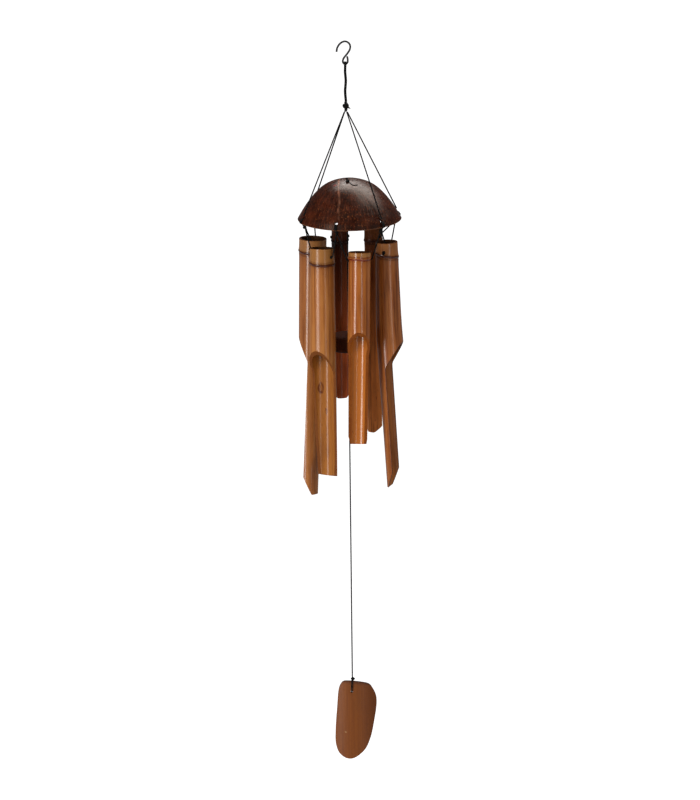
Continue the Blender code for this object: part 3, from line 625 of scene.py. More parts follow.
# crown: the centre line's knot on the shell, a stitch forward to a second small knot, and its loose thread
crown = {"lift": 0.0009, "bead": 0.0015, "knot": ((0.0008, 0.0006, 0.0008), 0.3),
         "small": ((0.0019, 0.0011, 0.0015), 0.9), "forward": (0.0014, -0.0099),
         "stitch": ((0.0004, -0.004), (0.0009, -0.0075)), "stitchWide": 0.0011, "threadLift": 0.0005,
         "thread": ((0.0032, -0.0122), (0.0056, -0.0158), (0.008, -0.0178), (0.0108, -0.0172), (0.0131, -0.0162)),
         "threadWide": 0.0009}
stitch = [onDome(*p, crown["lift"]) for p in (chime["crown"], *crown["stitch"], crown["forward"])]
loose = [stitch[-1]] + [onDome(*p, crown["threadLift"]) for p in crown["thread"]]
meshes = [knotMesh(stitch[0], *crown["knot"], diameter=crown["bead"]),
          knotMesh(stitch[-1], *crown["small"], diameter=crown["bead"]),
          cordMesh([smoothRoute(stitch)], {**yarn, "diameter": crown["stitchWide"]}),
          cordMesh([smoothRoute(loose)], {**thread, "diameter": crown["threadWide"]})]
settleKnot(meshes, "crownKnot", "dome", ["crown_knot"])

# rim ties: two turns of cord through each rim hole and round the edge, a tight knot and two short frayed ends.
# hole: steps through it along its lower edge, as (lower, share of the wall), so that the rest stays open
tie = {"turns": (-0.0008, 0.0008), "half": (0.0018, 0.0014, 0.0022), "knotTurn": 0.3, "yarn": 0.0019,
       "hole": ((0.0052, 1.0), (0.0036, 0.97), (0.002, 0.72), (0.0014, 0.0), (0.002, -0.72), (0.0036, -0.97),
                (0.0052, -1.0)),
       "edgeIn": 0.0004, "below": 0.0013, "underIn": 0.0024, "startOut": 0.001, "endIn": 0.0003,
       "endUp": 1.2 * chime["cord"], "ends": (0.0032, 0.0022), "endWay": (-0.5, 0.3, -0.8), "endFrom": 0.0012,
       "threads": 4, "meet": (0.2, 0.8)}
holeUp = domeNormal(chime["rimHoleRing"])[1]
for n, bearing in enumerate(chime["rimHoles"], 1):
    a = radians(bearing)
    outwards, sideways = Vector((sin(a), -cos(a), 0)), Vector((cos(a), sin(a), 0))
    middle = Vector((*roundAt(chime["tieRing"], bearing), chime["tieZ"]))
    arch = [domePoint(bearing, chime["rimHoleRing"] + holeUp * low, clear * out) for low, out in tie["hole"]]
    sagged = dome["sag"] * max(0, cos(a))
    edge = domePoint(bearing, chime["domeRadius"] - tie["edgeIn"], clear) - Vector((0, 0, sagged))
    under = edge - outwards * tie["underIn"] - Vector((0, 0, tie["below"]))
    inner = middle + Vector((0, 0, tie["endUp"])) - outwards * tie["endIn"]
    turn = [middle + outwards * tie["startOut"], under, edge] + arch + [inner]
    atKnot, nearKnot = tie["meet"]  # the two turns close in on the knot
    closeIn = [atKnot, nearKnot] + [1] * (len(turn) - 3) + [atKnot]
    routes = [smoothRoute([p + sideways * shift * k for p, k in zip(turn, closeIn)]) for shift in tie["turns"]]
    meshes = [cordMesh(routes), knotMesh(middle, tie["half"], a + tie["knotTurn"] * n, diameter=tie["yarn"])]
    inwards, aside, down = tie["endWay"]
    for m, size in enumerate(tie["ends"]):
        way = outwards * inwards + sideways * (aside if (m + n) % 2 else -aside) + Vector((0, 0, down))
        meshes += tailMeshes(middle + way * tie["endFrom"], way, size, 10 * n + m, tie["threads"])
    settleKnot(meshes, f"rimTie{n}", "dome", [f"rim_loop_{n}", f"tie_knot_{n}"])
print("rim ties made")

# what the six tubes share. ridge: the node ring's rings as (height, below, half). waves: unevenness as (turns, phase
# by tube, phase by depth, share). ripples: the ring's own as (turns, phase, share). fine: rows near the node as
# (above, below, step). The names that end in Run are how far a painted mark takes to fade
shared = {"wall": 0.003, "septum": 0.003, "cordHole": 0.0036, "fillet": 0.012, "bendRun": 0.04, "segments": 84,
          "rows": 90, "firstRow": 0.0012, "topRow": 0.0016, "lowRow": 0.002, "fine": (0.006, 0.008, 0.0004),
          "filletRows": 12, "mouthRows": 6, "spare": 0.004, "ease": 0.0004, "easeDeep": 0.0005, "cove": 0.001,
          "burr": 0.0002, "core": 0.004, "trimReach": 0.03, "riseDeep": 0.8,
          "ridge": ((0.00055, 0.0, 0.0012), (0.0004, 0.0, 0.005), (-0.0003, 0.0021, 0.0008)),
          "uneven": 0.00022, "waves": ((2, 1, 6, 1.0), (3, 2, -9, 0.6), (7, 3, 4, 0.35)),
          "ripples": ((3, 0, 1.0), (7, 1, 0.7)), "grainStep": (0.1, 0.07, 0.3), "crownRun": 0.0012,
          "mouthShadeDeep": 0.001, "mouthShadeRun": 0.002, "lipRun": 0.002, "paintedLightFrom": 0.06, "paintedLightRun": 0.1,
          "stainRise": 0.001, "scarLine": (0.9, 0.3), "scarFill": 0.45, "skinDeep": 0.0026, "sawnUp": 0.5,
          "sawnDeep": 0.001}
skinSlot, insideSlot, edgeSlot = 0, 1, 2
# sling: bends beside a hole as (out from the skin, share of the hole's depth, up), outside or down in the mouth
slings = {"outside": ((0.0034, 0, 0.0046), (0.0024, 0, 0.0013), (-0.0004, 0, 0.0001), (-0.0045, 0, 0.0)),
          "inside": ((-0.0046, 1, 0.0004), (-0.0045, 0.55, 0.0), (-0.0054, 0, 0.0024), (-0.0084, 0, 0.0002)),
          "between": 0.55, "twist": (0.0006, 0.0002), "twistYarn": 0.0017}
# sizes of tubes 1 to 6, as in the solids: diameters at top, scoop and foot, length, node and cord hole below the top,
# the scoop and the place. top: the mouth's lift and its rise to the front. ringSlant: the node ring's rise and bearing
tubeSizes = {
    "girth": ((0.033, 0.0298, 0.0238), (0.0286, 0.0316, 0.033), (0.026, 0.0264, 0.0266), (0.0262, 0.0316, 0.0316),
              (0.0216, 0.022, 0.0226), (0.0204, 0.0206, 0.0208)),
    "length": (0.314, 0.282, 0.237, 0.3006, 0.251, 0.2085),
    "node": (0.015, 0.0183, 0.0062, 0.0158, 0.015, 0.015),
    "hole": (0.0098, 0.0096, 0.01, 0.0113, 0.0105, 0.0105),
    "scoop": (0.12, 0.123, 0.095, 0.1216, 0.102, 0.086),
    "rake": (27, 31, 31, 33, 31, 31),
    "flat": ((0.0002, 0.0037), (-0.0024, -0.01), (-0.0055, -0.0069), (-0.004, -0.0047), (-0.0015, -0.0015),
             (-0.001, -0.001)),
    "slant": (0.0214, 0.002, 0.0015, 0.02, 0.008, 0.005),
    "tip": (0.0053, 0.001, 0.001, 0.0032, 0.001, 0.001),
    "bend": (0, 0, 0, 2.7, 0, 0),
    "drop": (0.0216, 0.0237, 0.027, 0.0212, 0.014, 0.0165),
    "inset": (0.0033, 0.0045, 0.0038, 0.0023, 0.0058, 0.0044),
    "shift": (-0.0036, -0.0022, 0.0016, 0.0004, 0.004, -0.001),
    "lean": (1.6, 0.8, 1.0, 0.9, 0.7, 1.2),
    "tilt": (0, 0.5, -1.35, 0, 0, 0),
    "turn": (-4.5, 11.8, -13, 0, 0, -1.2),
    "top": ((0.0, 0.02), (0.0, 0.087), (0.0006, 0.1), (0.0, 0.02), (0.0, 0.0), (0.0, 0.0)),
    "ringSlant": ((0.001, 30), (0.0006, 0), (0.0004, 60), (0.0022, -70), (0.0006, 0), (0.0006, 0)),
    "ringWave": (0.0002, 0.0002, 0.0004, 0.0003, 0.0002, 0.0002),
}
# each tube's colours and marks. coat: weight and roughness. ringLines: (below, half height, strength). scars: (across,
# depth, wide, tall). trims: corners off the tongue's end as (side, wide, tall), which with a small slant give tube 3
# its squarer end. twists: lumps of cord at a hole, as (side, half sizes). inward: sides where the sling goes down in
# the mouth
plainTube = {"ringLines": ((0.0003, 0.0017, 1.3), (0.004, 0.0007, 0.5)), "gloss": (0.4, 0.5), "stainRun": 0.006,
             "scars": (), "trims": (), "twists": (), "inward": ()}
tubes = {
    # tube 1: its crown colour is set darker, partly as painted shade for the shadowed side of its end
    1: {"skin": "#905426", "light": "#AA6E38", "dark": "#5A2C10", "crown": "#8C6238", "ring": "#3A0F02",
        "inside": "#8F5622", "insideDark": "#623412", "coat": (0.75, 0.2), "gloss": (0.34, 0.44), "inward": (1,)},
    2: {"skin": "#985A26", "light": "#B2763C", "dark": "#5C2C0E", "crown": "#8C6030", "ring": "#3A0F02",
        "inside": "#985C22", "insideDark": "#703E15", "coat": (0.5, 0.22), "gloss": (0.42, 0.52),
        "ringLines": ((0.0004, 0.0019, 1.3), (-0.003, 0.0005, 0.4)),
        "scars": ((-0.0103, 0.174, 0.002, 0.0062), (-0.0058, 0.2025, 0.0012, 0.0034)),
        "twists": ((1, (0.001, 0.0006, 0.0012)),)},
    3: {"skin": "#9E561C", "light": "#B87636", "dark": "#622A0A", "crown": "#94693A", "ring": "#641A06",
        "inside": "#AA6020", "insideDark": "#7E4212", "coat": (0.75, 0.15), "gloss": (0.3, 0.4),
        "ringLines": ((-0.0014, 0.0009, 0.8), (0.0016, 0.0011, 1.2)),
        "trims": ((-1, 0.0028, 0.0095), (1, 0.0014, 0.0085))},
    # tube 4: its crown colour is set darker, partly as painted shade for the shaded side of its end
    4: {"skin": "#8C4A1A", "light": "#AE6C36", "dark": "#481C06", "crown": "#84542A", "ring": "#3A0F02",
        "inside": "#94582A", "insideDark": "#6A3816", "coat": (0.75, 0.24), "insideCoat": (0.2, 0.3),
        "twists": ((-1, (0.0014, 0.0006, 0.0022)),), "inward": (-1,)},
    # tubes 5 and 6: foot is painted light; the dark crown and the stain's long dark run are painted shade from the
    # dome above
    5: {"skin": "#80421A", "light": "#965626", "dark": "#4A200A", "crown": "#341A0C", "ring": "#2C120A",
        "inside": "#904E22", "insideDark": "#5E2E12", "coat": (0.12, 0.2), "foot": "#DC8644",
        "stain": (0.8, "#2A1208"), "stainRun": 0.022, "trims": ((-1, 0.005, 0.0075),)},
    6: {"skin": "#6A2F10", "light": "#80421E", "dark": "#3C1406", "crown": "#240F06", "ring": "#240E07",
        "inside": "#703818", "insideDark": "#441C0A", "coat": (0.2, 0.18), "foot": "#A65026",
        "stain": (0.9, "#1E0C06"), "stainRun": 0.028, "trims": ((1, 0.0024, 0.005),),
        "twists": ((-1, (0.0012, 0.0006, 0.0014)), (1, (0.0012, 0.0006, 0.0014))), "inward": (-1, 1)},
}
# the fibres of bamboo, drawn two to three times as coarse as real ones, so that they show
bamboo = {"follows": "grain", "painted": ("crown", "ring", "stain", "scar", "mouth", "foot"),
          "patterns": {"fibre": ((1.2, 1.2, 70), 3), "thread": ((0.5, 0.5, 26), 2), "blotch": ((15, 15, 55), 3),
                       "fleck": ((1.4, 1.4, 6), 2), "band": ((5.5, 5.5, 300), 1)}}


# sawn end and trimmed edge of bamboo: the wall's own brown with dark dots of fibre bundles, scorched at the mouth
def edgeFinish(name, wall, bundle, scorch):
    return makeFinish(
        name, base=wall, follows="grain", painted=("lip",),
        patterns={"bundle": ((0.7, 0.7, 2.5), 2), "blotch": ((7, 7, 18), 2)},
        layers=[("bundle", 0.5, 0.62, 0.6, bundle), ("blotch", 0.45, 0.7, 0.5, bundle),
                ("lip", 0.0, 1.0, 0.7, scorch)],
        rough=("bundle", 0.4, 0.6), bump=("bundle", 0.3, 0.0003), specular=0.08)


def tubeRadius(d, depth):
    return np.interp(depth, (0, d["scoop"], d["length"]), d["girth"]) / 2


def tubeBow(d, depth):  # how far the tongue's bend has carried the tube outwards
    curved = shared["bendRun"]
    run = np.maximum(0.0, depth - d["scoop"] + curved)
    return tan(radians(d["bend"])) * np.where(run < curved, run ** 2 / (2 * curved), run - curved / 2)


def ringDepth(d, angle):  # the node ring's line round the tube
    slope, turn = d["ringSlant"]
    ripple = sum(share * np.sin(turns * angle + phase) for turns, phase, share in shared["ripples"])
    return d["node"] + slope * np.sin(angle - radians(turn)) + d["ringWave"] * ripple


def scoopOutline(d):  # side view of what the scoop and the slanted end take away
    head, foot = d["flat"]
    long, bend, spare = d["length"], shared["fillet"], shared["spare"]
    radius, back = tubeRadius(d, d["scoop"]), tubeRadius(d, long)
    wide = max(d["girth"]) / 2 + spare
    lean = radians(d["rake"])
    centre = (head + bend, d["scoop"] + (radius - head) / tan(lean) + bend * tan(lean / 2))
    arc = np.linspace(lean, 0, shared["filletRows"])
    arc = [(centre[0] - bend * cos(a), centre[1] - bend * sin(a)) for a in arc]
    start, stop = arc[-1][1], long - d["slant"]
    slope = [(head + (foot - head) * k, start + (stop - start) * k) for k in (0.25, 0.5, 0.75)]
    end = long - shared["burr"]
    trim = [(foot, stop), (d["tip"] - back, end), (-wide, end), (-wide, long + spare), (wide, long + spare)]
    side = [(wide, d["scoop"] - (wide - radius) / tan(lean))] + arc + slope + trim
    return [(out + tubeBow(d, depth), -depth) for out, depth in side]


def tubeProfile(d, shelf, ceiling):  # mouth, skin and bore of an uncut tube, as (radius, depth)
    above, below, step = shared["fine"]
    nearNode = np.arange(max(shared["firstRow"], d["node"] - above), d["node"] + below, step)
    topRows = np.arange(shared["topRow"], nearNode[0], shared["topRow"])
    lowRows = np.linspace(nearNode[-1] + shared["lowRow"], d["length"], shared["rows"])
    wall, ease, deep, cove = (shared[key] for key in ("wall", "ease", "easeDeep", "cove"))
    mouthRows = np.linspace(max(shelf - cove, cove), deep, shared["mouthRows"])
    mouth = [(0.0, shelf), (tubeRadius(d, shelf) - wall - cove, shelf)]
    mouth += [(tubeRadius(d, t) - wall, t) for t in mouthRows]
    mouth += [(tubeRadius(d, 0) - wall + ease, 0.0), (tubeRadius(d, 0) - ease, 0.0), (tubeRadius(d, 0), deep)]
    skin = [(tubeRadius(d, t), t) for t in np.concatenate([topRows, nearNode, lowRows])]
    boreRows = np.linspace(d["length"], ceiling + cove, shared["rows"])
    bore = [(tubeRadius(d, t) - wall, t) for t in boreRows]
    return mouth + skin + bore + [(bore[-1][0] - cove, ceiling), (0.0, ceiling)]


sideView = Matrix(((0, 0, 1, 0), (-1, 0, 0, 0), (0, 1, 0, 0), (0, 0, 0, 1)))
faceView = Matrix(((1, 0, 0, 0), (0, 0, -1, 0), (0, 1, 0, 0), (0, 0, 0, 1)))
for n, own in tubes.items():
    d = {**plainTube, **{key: values[n - 1] for key, values in tubeSizes.items()}, **own}
    light, dark, insideDark = d["light"], d["dark"], d["insideDark"]
    coat, coatRough = d["coat"]
    # lacquered bamboo skin: long fibre streaks, age blotches, a scorched node ring under a paler end, wet gloss. On
    # tubes 5 and 6 painted shade darkens the end and the run below the ring, and painted light brightens the foot
    skin = makeFinish(
        f"lacqueredBambooSkin{n}", base=d["skin"], **bamboo,
        # foot: painted light, lighter towards the bottom on tubes 5 and 6; on the other tubes it is the skin's own
        # colour
        layers=[("foot", 0.0, 1.0, 1.0, d.get("foot", d["skin"])),
                ("band", 0.52, 0.68, 0.55, light), ("band", 0.47, 0.32, 0.6, dark),
                ("fibre", 0.5, 0.7, 0.5, light), ("fibre", 0.46, 0.28, 0.5, dark),
                ("blotch", 0.46, 0.3, 0.45, dark), ("blotch", 0.52, 0.72, 0.4, light),
                # crown: the end above the node ring; on tubes 5 and 6 its dark colour is painted shade from the dome
                ("thread", 0.6, 0.75, 0.35, dark), ("crown", 0.0, 1.0, 0.65, d["crown"]),
                # stain: a scorch under the node ring; its longer, darker run on tubes 5 and 6 is painted shade from
                # the dome
                ("stain", 0.0, 1.0, *d.get("stain", (0.6, dark))), ("fleck", 0.68, 0.74, 0.5, dark),
                ("ring", 0.0, 1.0, 0.95, d["ring"])],
        rough=("thread", *d["gloss"]), bump=("fibre", 0.1, 0.0004), specular=0.06, coat=coat, coatRough=coatRough)
    coat, coatRough = d.get("insideCoat", d["coat"])
    # inner bamboo wall: softer pith side, finer pale fibres, darker scars, painted shade inside the mouth above the
    # septum, the same lacquer
    inside = makeFinish(
        f"lacqueredBambooInside{n}", base=d["inside"], **bamboo,
        layers=[("fibre", 0.46, 0.3, 0.55, insideDark), ("blotch", 0.5, 0.32, 0.5, insideDark),
                ("thread", 0.56, 0.74, 0.4, light), ("fleck", 0.66, 0.72, 0.6, dark),
                ("scar", 0.3, 0.8, 0.9, "#5A2404"), ("mouth", 0.0, 1.0, 0.85, "#140A06")],
        rough=("thread", *d["gloss"]), bump=("thread", 0.16, 0.0004), specular=0.06, coat=coat, coatRough=coatRough)
    edge = edgeFinish(f"sawnBambooEdge{n}", insideDark, dark, "#3A1E0E")
    shelf, ceiling = d["node"] - shared["septum"] / 2, d["node"] + shared["septum"] / 2
    mesh = turnMesh([(r, -t) for r, t in tubeProfile(d, shelf, ceiling)], shared["segments"], skin)
    mesh.materials.append(inside)
    mesh.materials.append(edge)
    # an uneven skin with the ring's ridge, a mouth that rises to the front, and the tongue's bend
    points = readPoints(mesh)
    depth = -points[:, 2]
    radius = np.hypot(points[:, 0], points[:, 1])
    angle = np.arctan2(points[:, 0], -points[:, 1])
    fromRing = depth - ringDepth(d, angle)
    lift = sum(size * bell(fromRing, below, half) for size, below, half in shared["ridge"])
    uneven = shared["uneven"] * sum(share * np.cos(turns * angle + byTube * n + byDepth * depth)
                                        for turns, byTube, byDepth, share in shared["waves"])
    shaped = radius + np.where(radius > tubeRadius(d, depth) - shared["cove"], lift, 0)
    shaped += np.where(radius > shared["core"], uneven, 0)
    first, last = chime["rimHoles"][n - 2], chime["rimHoles"][n - 1]  # it hangs between these two holes
    spread = radians((last - first) % 360 / 2)
    bearing = first + degrees(spread)
    ahead = -points[:, 0] * sin(radians(bearing)) - points[:, 1] * cos(radians(bearing))
    raised, rise = d["top"]
    points[:, 2] += (raised + rise * ahead) * rampDown(depth, shared["riseDeep"] * shelf)
    points[:, :2] *= (shaped / np.maximum(radius, tiny))[:, None]
    points[:, 1] -= tubeBow(d, depth)
    writePoints(mesh, points)
    # the scoop with the slanted end, the two cord holes, and corners off the tongue
    turn = Matrix.Rotation(radians(d["turn"]), 4, "Z")
    across = max(d["girth"])
    cutters = [prism(scoopOutline(d), across, turn @ sideView),
               rod(shared["cordHole"] / 2, across, (0, 0, -d["hole"]), (1, 0, 0))]
    spare = shared["spare"]
    foot, chord = -d["length"] - spare, float(tubeRadius(d, d["length"]))
    if d["flat"][1] < 0:  # a tongue less than half round is narrower
        chord = sqrt(chord ** 2 - d["flat"][1] ** 2)
    for side, wide, tall in d["trims"]:
        corner = [(side * (chord + spare), foot), (side * (chord + spare), foot + tall + spare + spare * tall / wide),
                  (side * (chord - wide - spare * wide / tall), foot)]
        cutters.append(prism(corner, shared["trimReach"], turn @ faceView))
    mesh = carve(mesh, cutters, edgeSlot)
    # marks for the finishes to read, on the tube before its bend
    straight = readPoints(mesh)
    depth = -straight[:, 2]
    straight[:, 1] += tubeBow(d, depth)
    angle = np.arctan2(straight[:, 0], -straight[:, 1])
    fromRing = depth - ringDepth(d, angle)
    lines = [share * bell(fromRing, below, half) for below, half, share in d["ringLines"]]
    stain = np.exp(-np.maximum(fromRing, 0) / d["stainRun"])
    scar = np.zeros(len(straight))
    within = np.hypot(straight[:, 0], straight[:, 1]) < tubeRadius(d, depth) - shared["wall"] / 2
    line, soft = shared["scarLine"]
    for x, deep, wide, tall in d["scars"]:  # a bud scar: a dark oval line, fainter inside
        off = np.hypot((straight[:, 0] - x) / wide, (depth - deep) / tall)
        scar = np.maximum(scar, within * np.maximum(bell(off, line, soft), shared["scarFill"] * (off < line)))
    paint(mesh, grain=straight + n * np.array(shared["grainStep"]), crown=rampUp(-fromRing, shared["crownRun"]),
          ring=np.clip(sum(lines), 0, 1), lip=rampDown(depth, shared["lipRun"]),
          # mouth: painted shade inside the tube's mouth, above the septum
          mouth=rampUp(shelf + shared["mouthShadeDeep"] - depth, shared["mouthShadeRun"]),
          # foot: painted light, rising towards the tube's bottom
          foot=rampUp(depth - shared["paintedLightFrom"], shared["paintedLightRun"]),
          stain=rampUp(fromRing, shared["stainRise"]) * stain, scar=scar)
    skinFrom = 0.5 * min(d["girth"]) - shared["skinDeep"]
    for face in mesh.polygons:  # skin, inside, or sawn edge
        if face.material_index == edgeSlot:
            continue
        centre = face.center + Vector((0, tubeBow(d, -face.center.z), 0))
        outward = face.normal.x * centre.x + face.normal.y * centre.y
        if face.normal.z > shared["sawnUp"] and -face.center.z < shared["sawnDeep"]:
            face.material_index = edgeSlot
        else:
            face.material_index = skinSlot if outward > 0 and centre.xy.length > skinFrom else insideSlot
    swing = Matrix.Translation((*roundAt(chime["tieRing"] * cos(spread), bearing), chime["tieZ"]))
    swing = swing @ Matrix.Rotation(radians(bearing), 4, "Z")
    place = Matrix.Translation((d["shift"], d["inset"], -d["drop"]))
    place = place @ Matrix.Rotation(radians(-d["lean"]), 4, "X") @ Matrix.Rotation(radians(-d["tilt"]), 4, "Y")
    mesh.transform(swing @ place)
    body = f"tube_{n}_slung"
    settle(mesh, f"bambooTube{n}", body, [f"tube_{n}"], sharp=32)
    # sling: one cord from a tie knot through the tube's two holes and up to the next
    hole = place @ Vector((0, 0, -d["hole"]))
    outer = float(tubeRadius(d, d["hole"]))
    strands = []
    for side in (-1, 1):
        knot = Vector((side * (chime["tieRing"] * sin(spread)), 0, 0))
        way = slings["inside" if side in d["inward"] else "outside"]
        bends = [hole + Vector((side * (outer + out), 0, d["hole"] * share + up)) for out, share, up in way]
        start = knot + (bends[0] - knot).normalized() * (chime["tieKnot"] + chime["gap"])
        strands.append([start, start.lerp(bends[0], slings["between"])] + bends)
    route = smoothRoute([swing @ p for p in strands[0] + [hole] + strands[1][::-1]])
    layCord(f"sling{n}", body, f"sling_{n}", route)
    out, up = slings["twist"]
    for m, (side, half) in enumerate(d["twists"], 1):  # a twist of cord at the hole's mouth
        twist = swing @ (hole + Vector((side * (outer + out), 0, up)))
        twist = knotMesh(twist, half, radians(bearing + 90), diameter=slings["twistYarn"])
        settleKnot([twist], f"slingTwist{n}.{m}", body, [])
    print("tube", n, "and its sling made")

# clapper: turned hardwood, stained almost black and waxed, fine lathe lines and a rubbed edge
woodFinish = makeFinish(
    "stainedHardwood", base="#3E1C0E",
    patterns={"grain": ((1.2, 14, 14), 3), "pore": ((0.5, 5, 5), 2), "patch": ((9, 9, 9), 2)},
    layers=[("grain", 0.5, 0.7, 0.6, "#54290F"), ("pore", 0.6, 0.72, 0.5, "#220E07"),
            ("patch", 0.52, 0.7, 0.35, "#4A2210")],
    rough=("grain", 0.6, 0.75), bump=("pore", 0.15, 0.0004), specular=0.06)

# centre line, the clapper on it, and the stop knot under it
clapper = {"radius": 0.0238, "hole": 0.004, "round": 0.005, "segments": 96, "lines": 8, "groove": 0.0003,
           "faceRows": 10, "cornerRows": 12, "cordUp": 0.0003, "knot": ((0.0018, 0.0016, 0.0018), 0.5),
           "knotYarn": 0.0017}
clapperFoot = chime["clapperTop"] - chime["clapperThick"]
stopZ = clapperFoot - chime["gap"] - chime["stopKnot"]
x, y = chime["crown"]
heights = (crownZ + clapper["cordUp"], (crownZ + clapperFoot) / 2, clapperFoot)
layCord("centreCord", "centre_line", "centre_cord", smoothRoute([(x, y, z) for z in heights]))
knot = knotMesh((x, y, stopZ), *clapper["knot"], diameter=clapper["knotYarn"])
settleKnot([knot], "stopKnot", "centre_line", ["stop_knot"])
bend, thick, wide, lines = clapper["round"], chime["clapperThick"], clapper["radius"], clapper["lines"]
corner = np.linspace(pi / 2, 0, clapper["cornerRows"])
corner = [(wide - bend + bend * cos(a), -bend * (1 - sin(a))) for a in corner]
side = [(wide - clapper["groove"] * (k % 2), -bend - (thick - 2 * bend) * k / lines) for k in range(1, lines)]
face = [(r, 0.0) for r in np.linspace(clapper["hole"] / 2, wide - bend, clapper["faceRows"])[:-1]]
profile = face + corner + side + [(r, -thick - z) for r, z in corner[::-1]] + [(r, -thick) for r, z in face[::-1]]
mesh = turnMesh(profile + profile[:1], clapper["segments"], woodFinish)
mesh.transform(Matrix.Translation((x, y, chime["clapperTop"])))
settle(mesh, "clapperDisc", "clapper", ["clapper"], sharp=40)

# sail: a bamboo split that catches the wind, cut from a ring of bamboo. scars: (across, height, wide, tall)
sail = {"front": -0.0055, "thick": 0.004, "curve": 0.047, "curveX": 0.003, "hole": (-0.0008, -0.0128),
        "holeWide": 0.0026, "segments": 220, "rows": 60, "above": 0.006, "long": 0.11, "reach": 0.02, "step": 0.0012,
        "outline": (
            (-0.0102, 0.0), (0.0192, -0.0037), (0.0245, -0.0105), (0.0284, -0.02), (0.029, -0.029),
            (0.0255, -0.052), (0.0211, -0.0708), (0.0141, -0.085), (0.0002, -0.0952), (-0.0089, -0.0949),
            (-0.0171, -0.0883), (-0.0207, -0.0775), (-0.0209, -0.0633), (-0.0188, -0.0341), (-0.0163, -0.0095),
            (-0.0138, -0.0035)),
        "scars": ((-0.0048, -0.0262, 0.0016, 0.0007), (-0.0086, -0.0628, 0.0014, 0.0007)), "stainRun": 0.0012,
        "lipRun": 0.003, "shade": (0.006, 0.016), "grainFrom": (0.9, 0.3, 2.1)}
# its knot: a lump below the cord's end, a neck round it and one frayed tail
sailTie = {"knot": ((0.0016, 0.0012, 0.0018), 0.2), "at": (0.0005, 0, -0.0013), "yarn": 0.0019,
           "neck": (-0.001, 0.0008, chime["sailKnot"] + 0.0002), "tailFrom": (0.0012, -0.0008, -0.0004),
           "tail": ((0.8, -0.5, 0.1), 0.0018, 91, 3)}
heights = (stopZ - chime["stopKnot"] - chime["gap"], (stopZ + chime["sailKnotZ"]) / 2,
           chime["sailKnotZ"] + chime["sailKnot"] + chime["gap"])
layCord("sailCord", "sail_line", "sail_cord", smoothRoute([(x, y, z) for z in heights]))
sailHome = Vector((x, y, chime["sailKnotZ"]))
neck = [sailHome + Vector((0, 0, up)) for up in sailTie["neck"]]
meshes = [knotMesh(sailHome + Vector(sailTie["at"]), *sailTie["knot"], diameter=sailTie["yarn"]),
          cordMesh([smoothRoute(neck)])]
meshes += tailMeshes(sailHome + Vector(sailTie["tailFrom"]), *sailTie["tail"])
settleKnot(meshes, "sailKnot", "sail_swivel", ["sail_knot"])

# sail skin: the same lacquered bamboo, broad soft bands of orange and brown, small pale scars, dark at its top edge,
# and painted shade darkening it towards +x
sailSkin = makeFinish(
    "lacqueredBambooSail", base="#743C0E", **{**bamboo, "painted": ("scar", "stain", "side")},
    layers=[("fibre", 0.5, 0.7, 0.3, "#8A4E18"), ("fibre", 0.46, 0.28, 0.3, "#5C2A0A"),
            ("blotch", 0.5, 0.3, 0.4, "#663610"), ("side", 0.0, 1.0, 0.5, "#5C2C0C"),
            ("thread", 0.6, 0.75, 0.15, "#4A2410"), ("fleck", 0.68, 0.74, 0.4, "#4E260F"),
            ("scar", 0.3, 0.8, 0.6, "#B08A5C"), ("stain", 0.0, 1.0, 0.7, "#43200F")],
    rough=("thread", 0.34, 0.44), bump=("fibre", 0.1, 0.0003), specular=0.3, coat=0.1, coatRough=0.2)
sailEdge = edgeFinish("sawnSailEdge", "#5A3014", "#3A1C0C", "#140904")
heights = np.linspace(sail["above"], -sail["long"], sail["rows"])
ring = [(sail["curve"], z) for z in heights] + [(sail["curve"] - sail["thick"], z) for z in heights[::-1]]
mesh = turnMesh(ring + ring[:1], sail["segments"], sailSkin)
mesh.materials.append(sailEdge)
mesh.transform(Matrix.Translation((sail["curveX"], sail["front"] + sail["curve"], 0)))
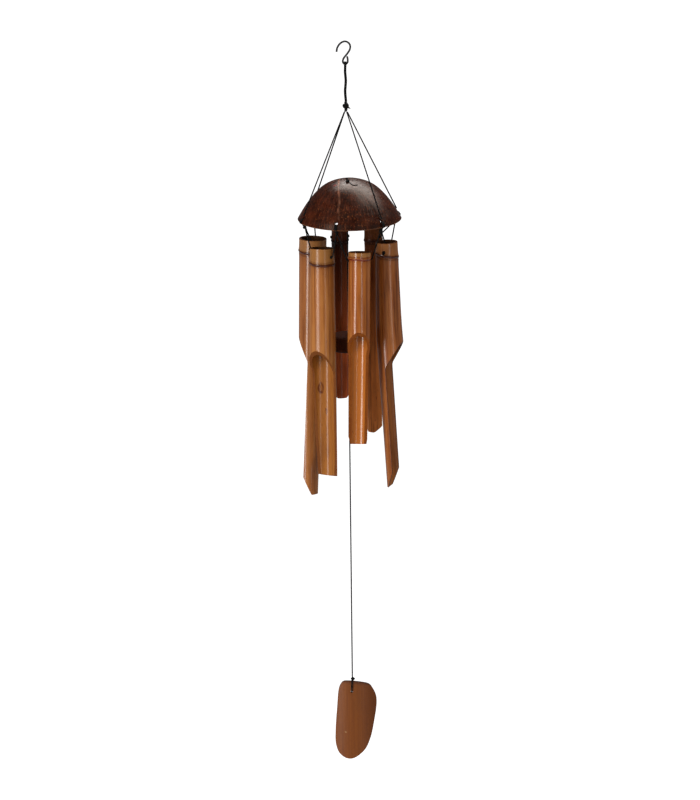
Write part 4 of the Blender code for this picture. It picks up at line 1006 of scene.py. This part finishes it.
# the outline is smoothed with its ends overlapping, then one round of it is taken
loop = list(sail["outline"])
rounded = smoothRoute([(a, 0, b) for a, b in loop[-2:] + loop + loop[:2]], sail["step"])
off = np.linalg.norm(rounded[:, ::2] - np.array(loop[0]), axis=1)
half = len(off) // 2
once = rounded[int(np.argmin(off[:half])):half + int(np.argmin(off[half:]))]
holeX, holeZ = sail["hole"]
cutters = [prism([(p[0], p[2]) for p in once], sail["reach"], faceView),
           rod(sail["holeWide"] / 2, sail["reach"], (holeX, 0, holeZ), (0, 1, 0))]
mesh = carve(mesh, cutters, finish=1, first="INTERSECT")
points = readPoints(mesh)
across, high = points[:, 0], points[:, 2]
scars = [bell(across, at, wide) * bell(high, up, tall) for at, up, wide, tall in sail["scars"]]
fall = np.interp(across, *zip(*sorted(loop[:2]))) - high  # below the top edge
paint(mesh, grain=points + np.array(sail["grainFrom"]), scar=np.maximum(*scars), lip=rampDown(fall, sail["lipRun"]),
      # side: painted shade, darker towards +x
      stain=np.exp(-np.maximum(fall, 0) / sail["stainRun"]), side=rampUp(across - sail["shade"][0], sail["shade"][1]))
mesh.transform(Matrix.Translation((x, y, chime["sailTop"])))
settle(mesh, "windSail", "sail", ["sail"], sharp=40)

# sail loop: from the knot down the front, through the hole and up behind
sailLoop = {"start": (-0.0002, -0.0012, -0.0004), "front": (-0.0004, 0.0002, -0.0034), "rear": (-0.0002, -0.0045),
            "end": (0, 0.0004, -0.0012), "slack": 0.0005}
near = sail["front"] - chime["cord"] / 2 - chime["gap"]
far = sail["front"] + sail["thick"] + chime["cord"] / 2 + chime["gap"]
middle, bend = (near + far) / 2, (far - near) / 2
low = chime["sailTop"] - chime["sailKnotZ"] + holeZ
arch = [(holeX, middle - bend * cos(a), low + bend * (1 - sin(a)) - sailLoop["slack"])
        for a in np.radians((0, 45, 90, 135, 180))]
(frontX, out, frontZ), (rearX, rearZ) = sailLoop["front"], sailLoop["rear"]
front = [sailLoop["start"], (frontX, near - out, frontZ), (holeX, near, low + 2 * bend)]
rear = [(holeX, far, low + 2 * bend), (rearX, far, rearZ), sailLoop["end"]]
route = smoothRoute([sailHome + Vector(p) for p in front + arch + rear])
settle(cordMesh([route]), "sailLoop", "sail", ["sail_loop"])
print("clapper, sail and their lines made")
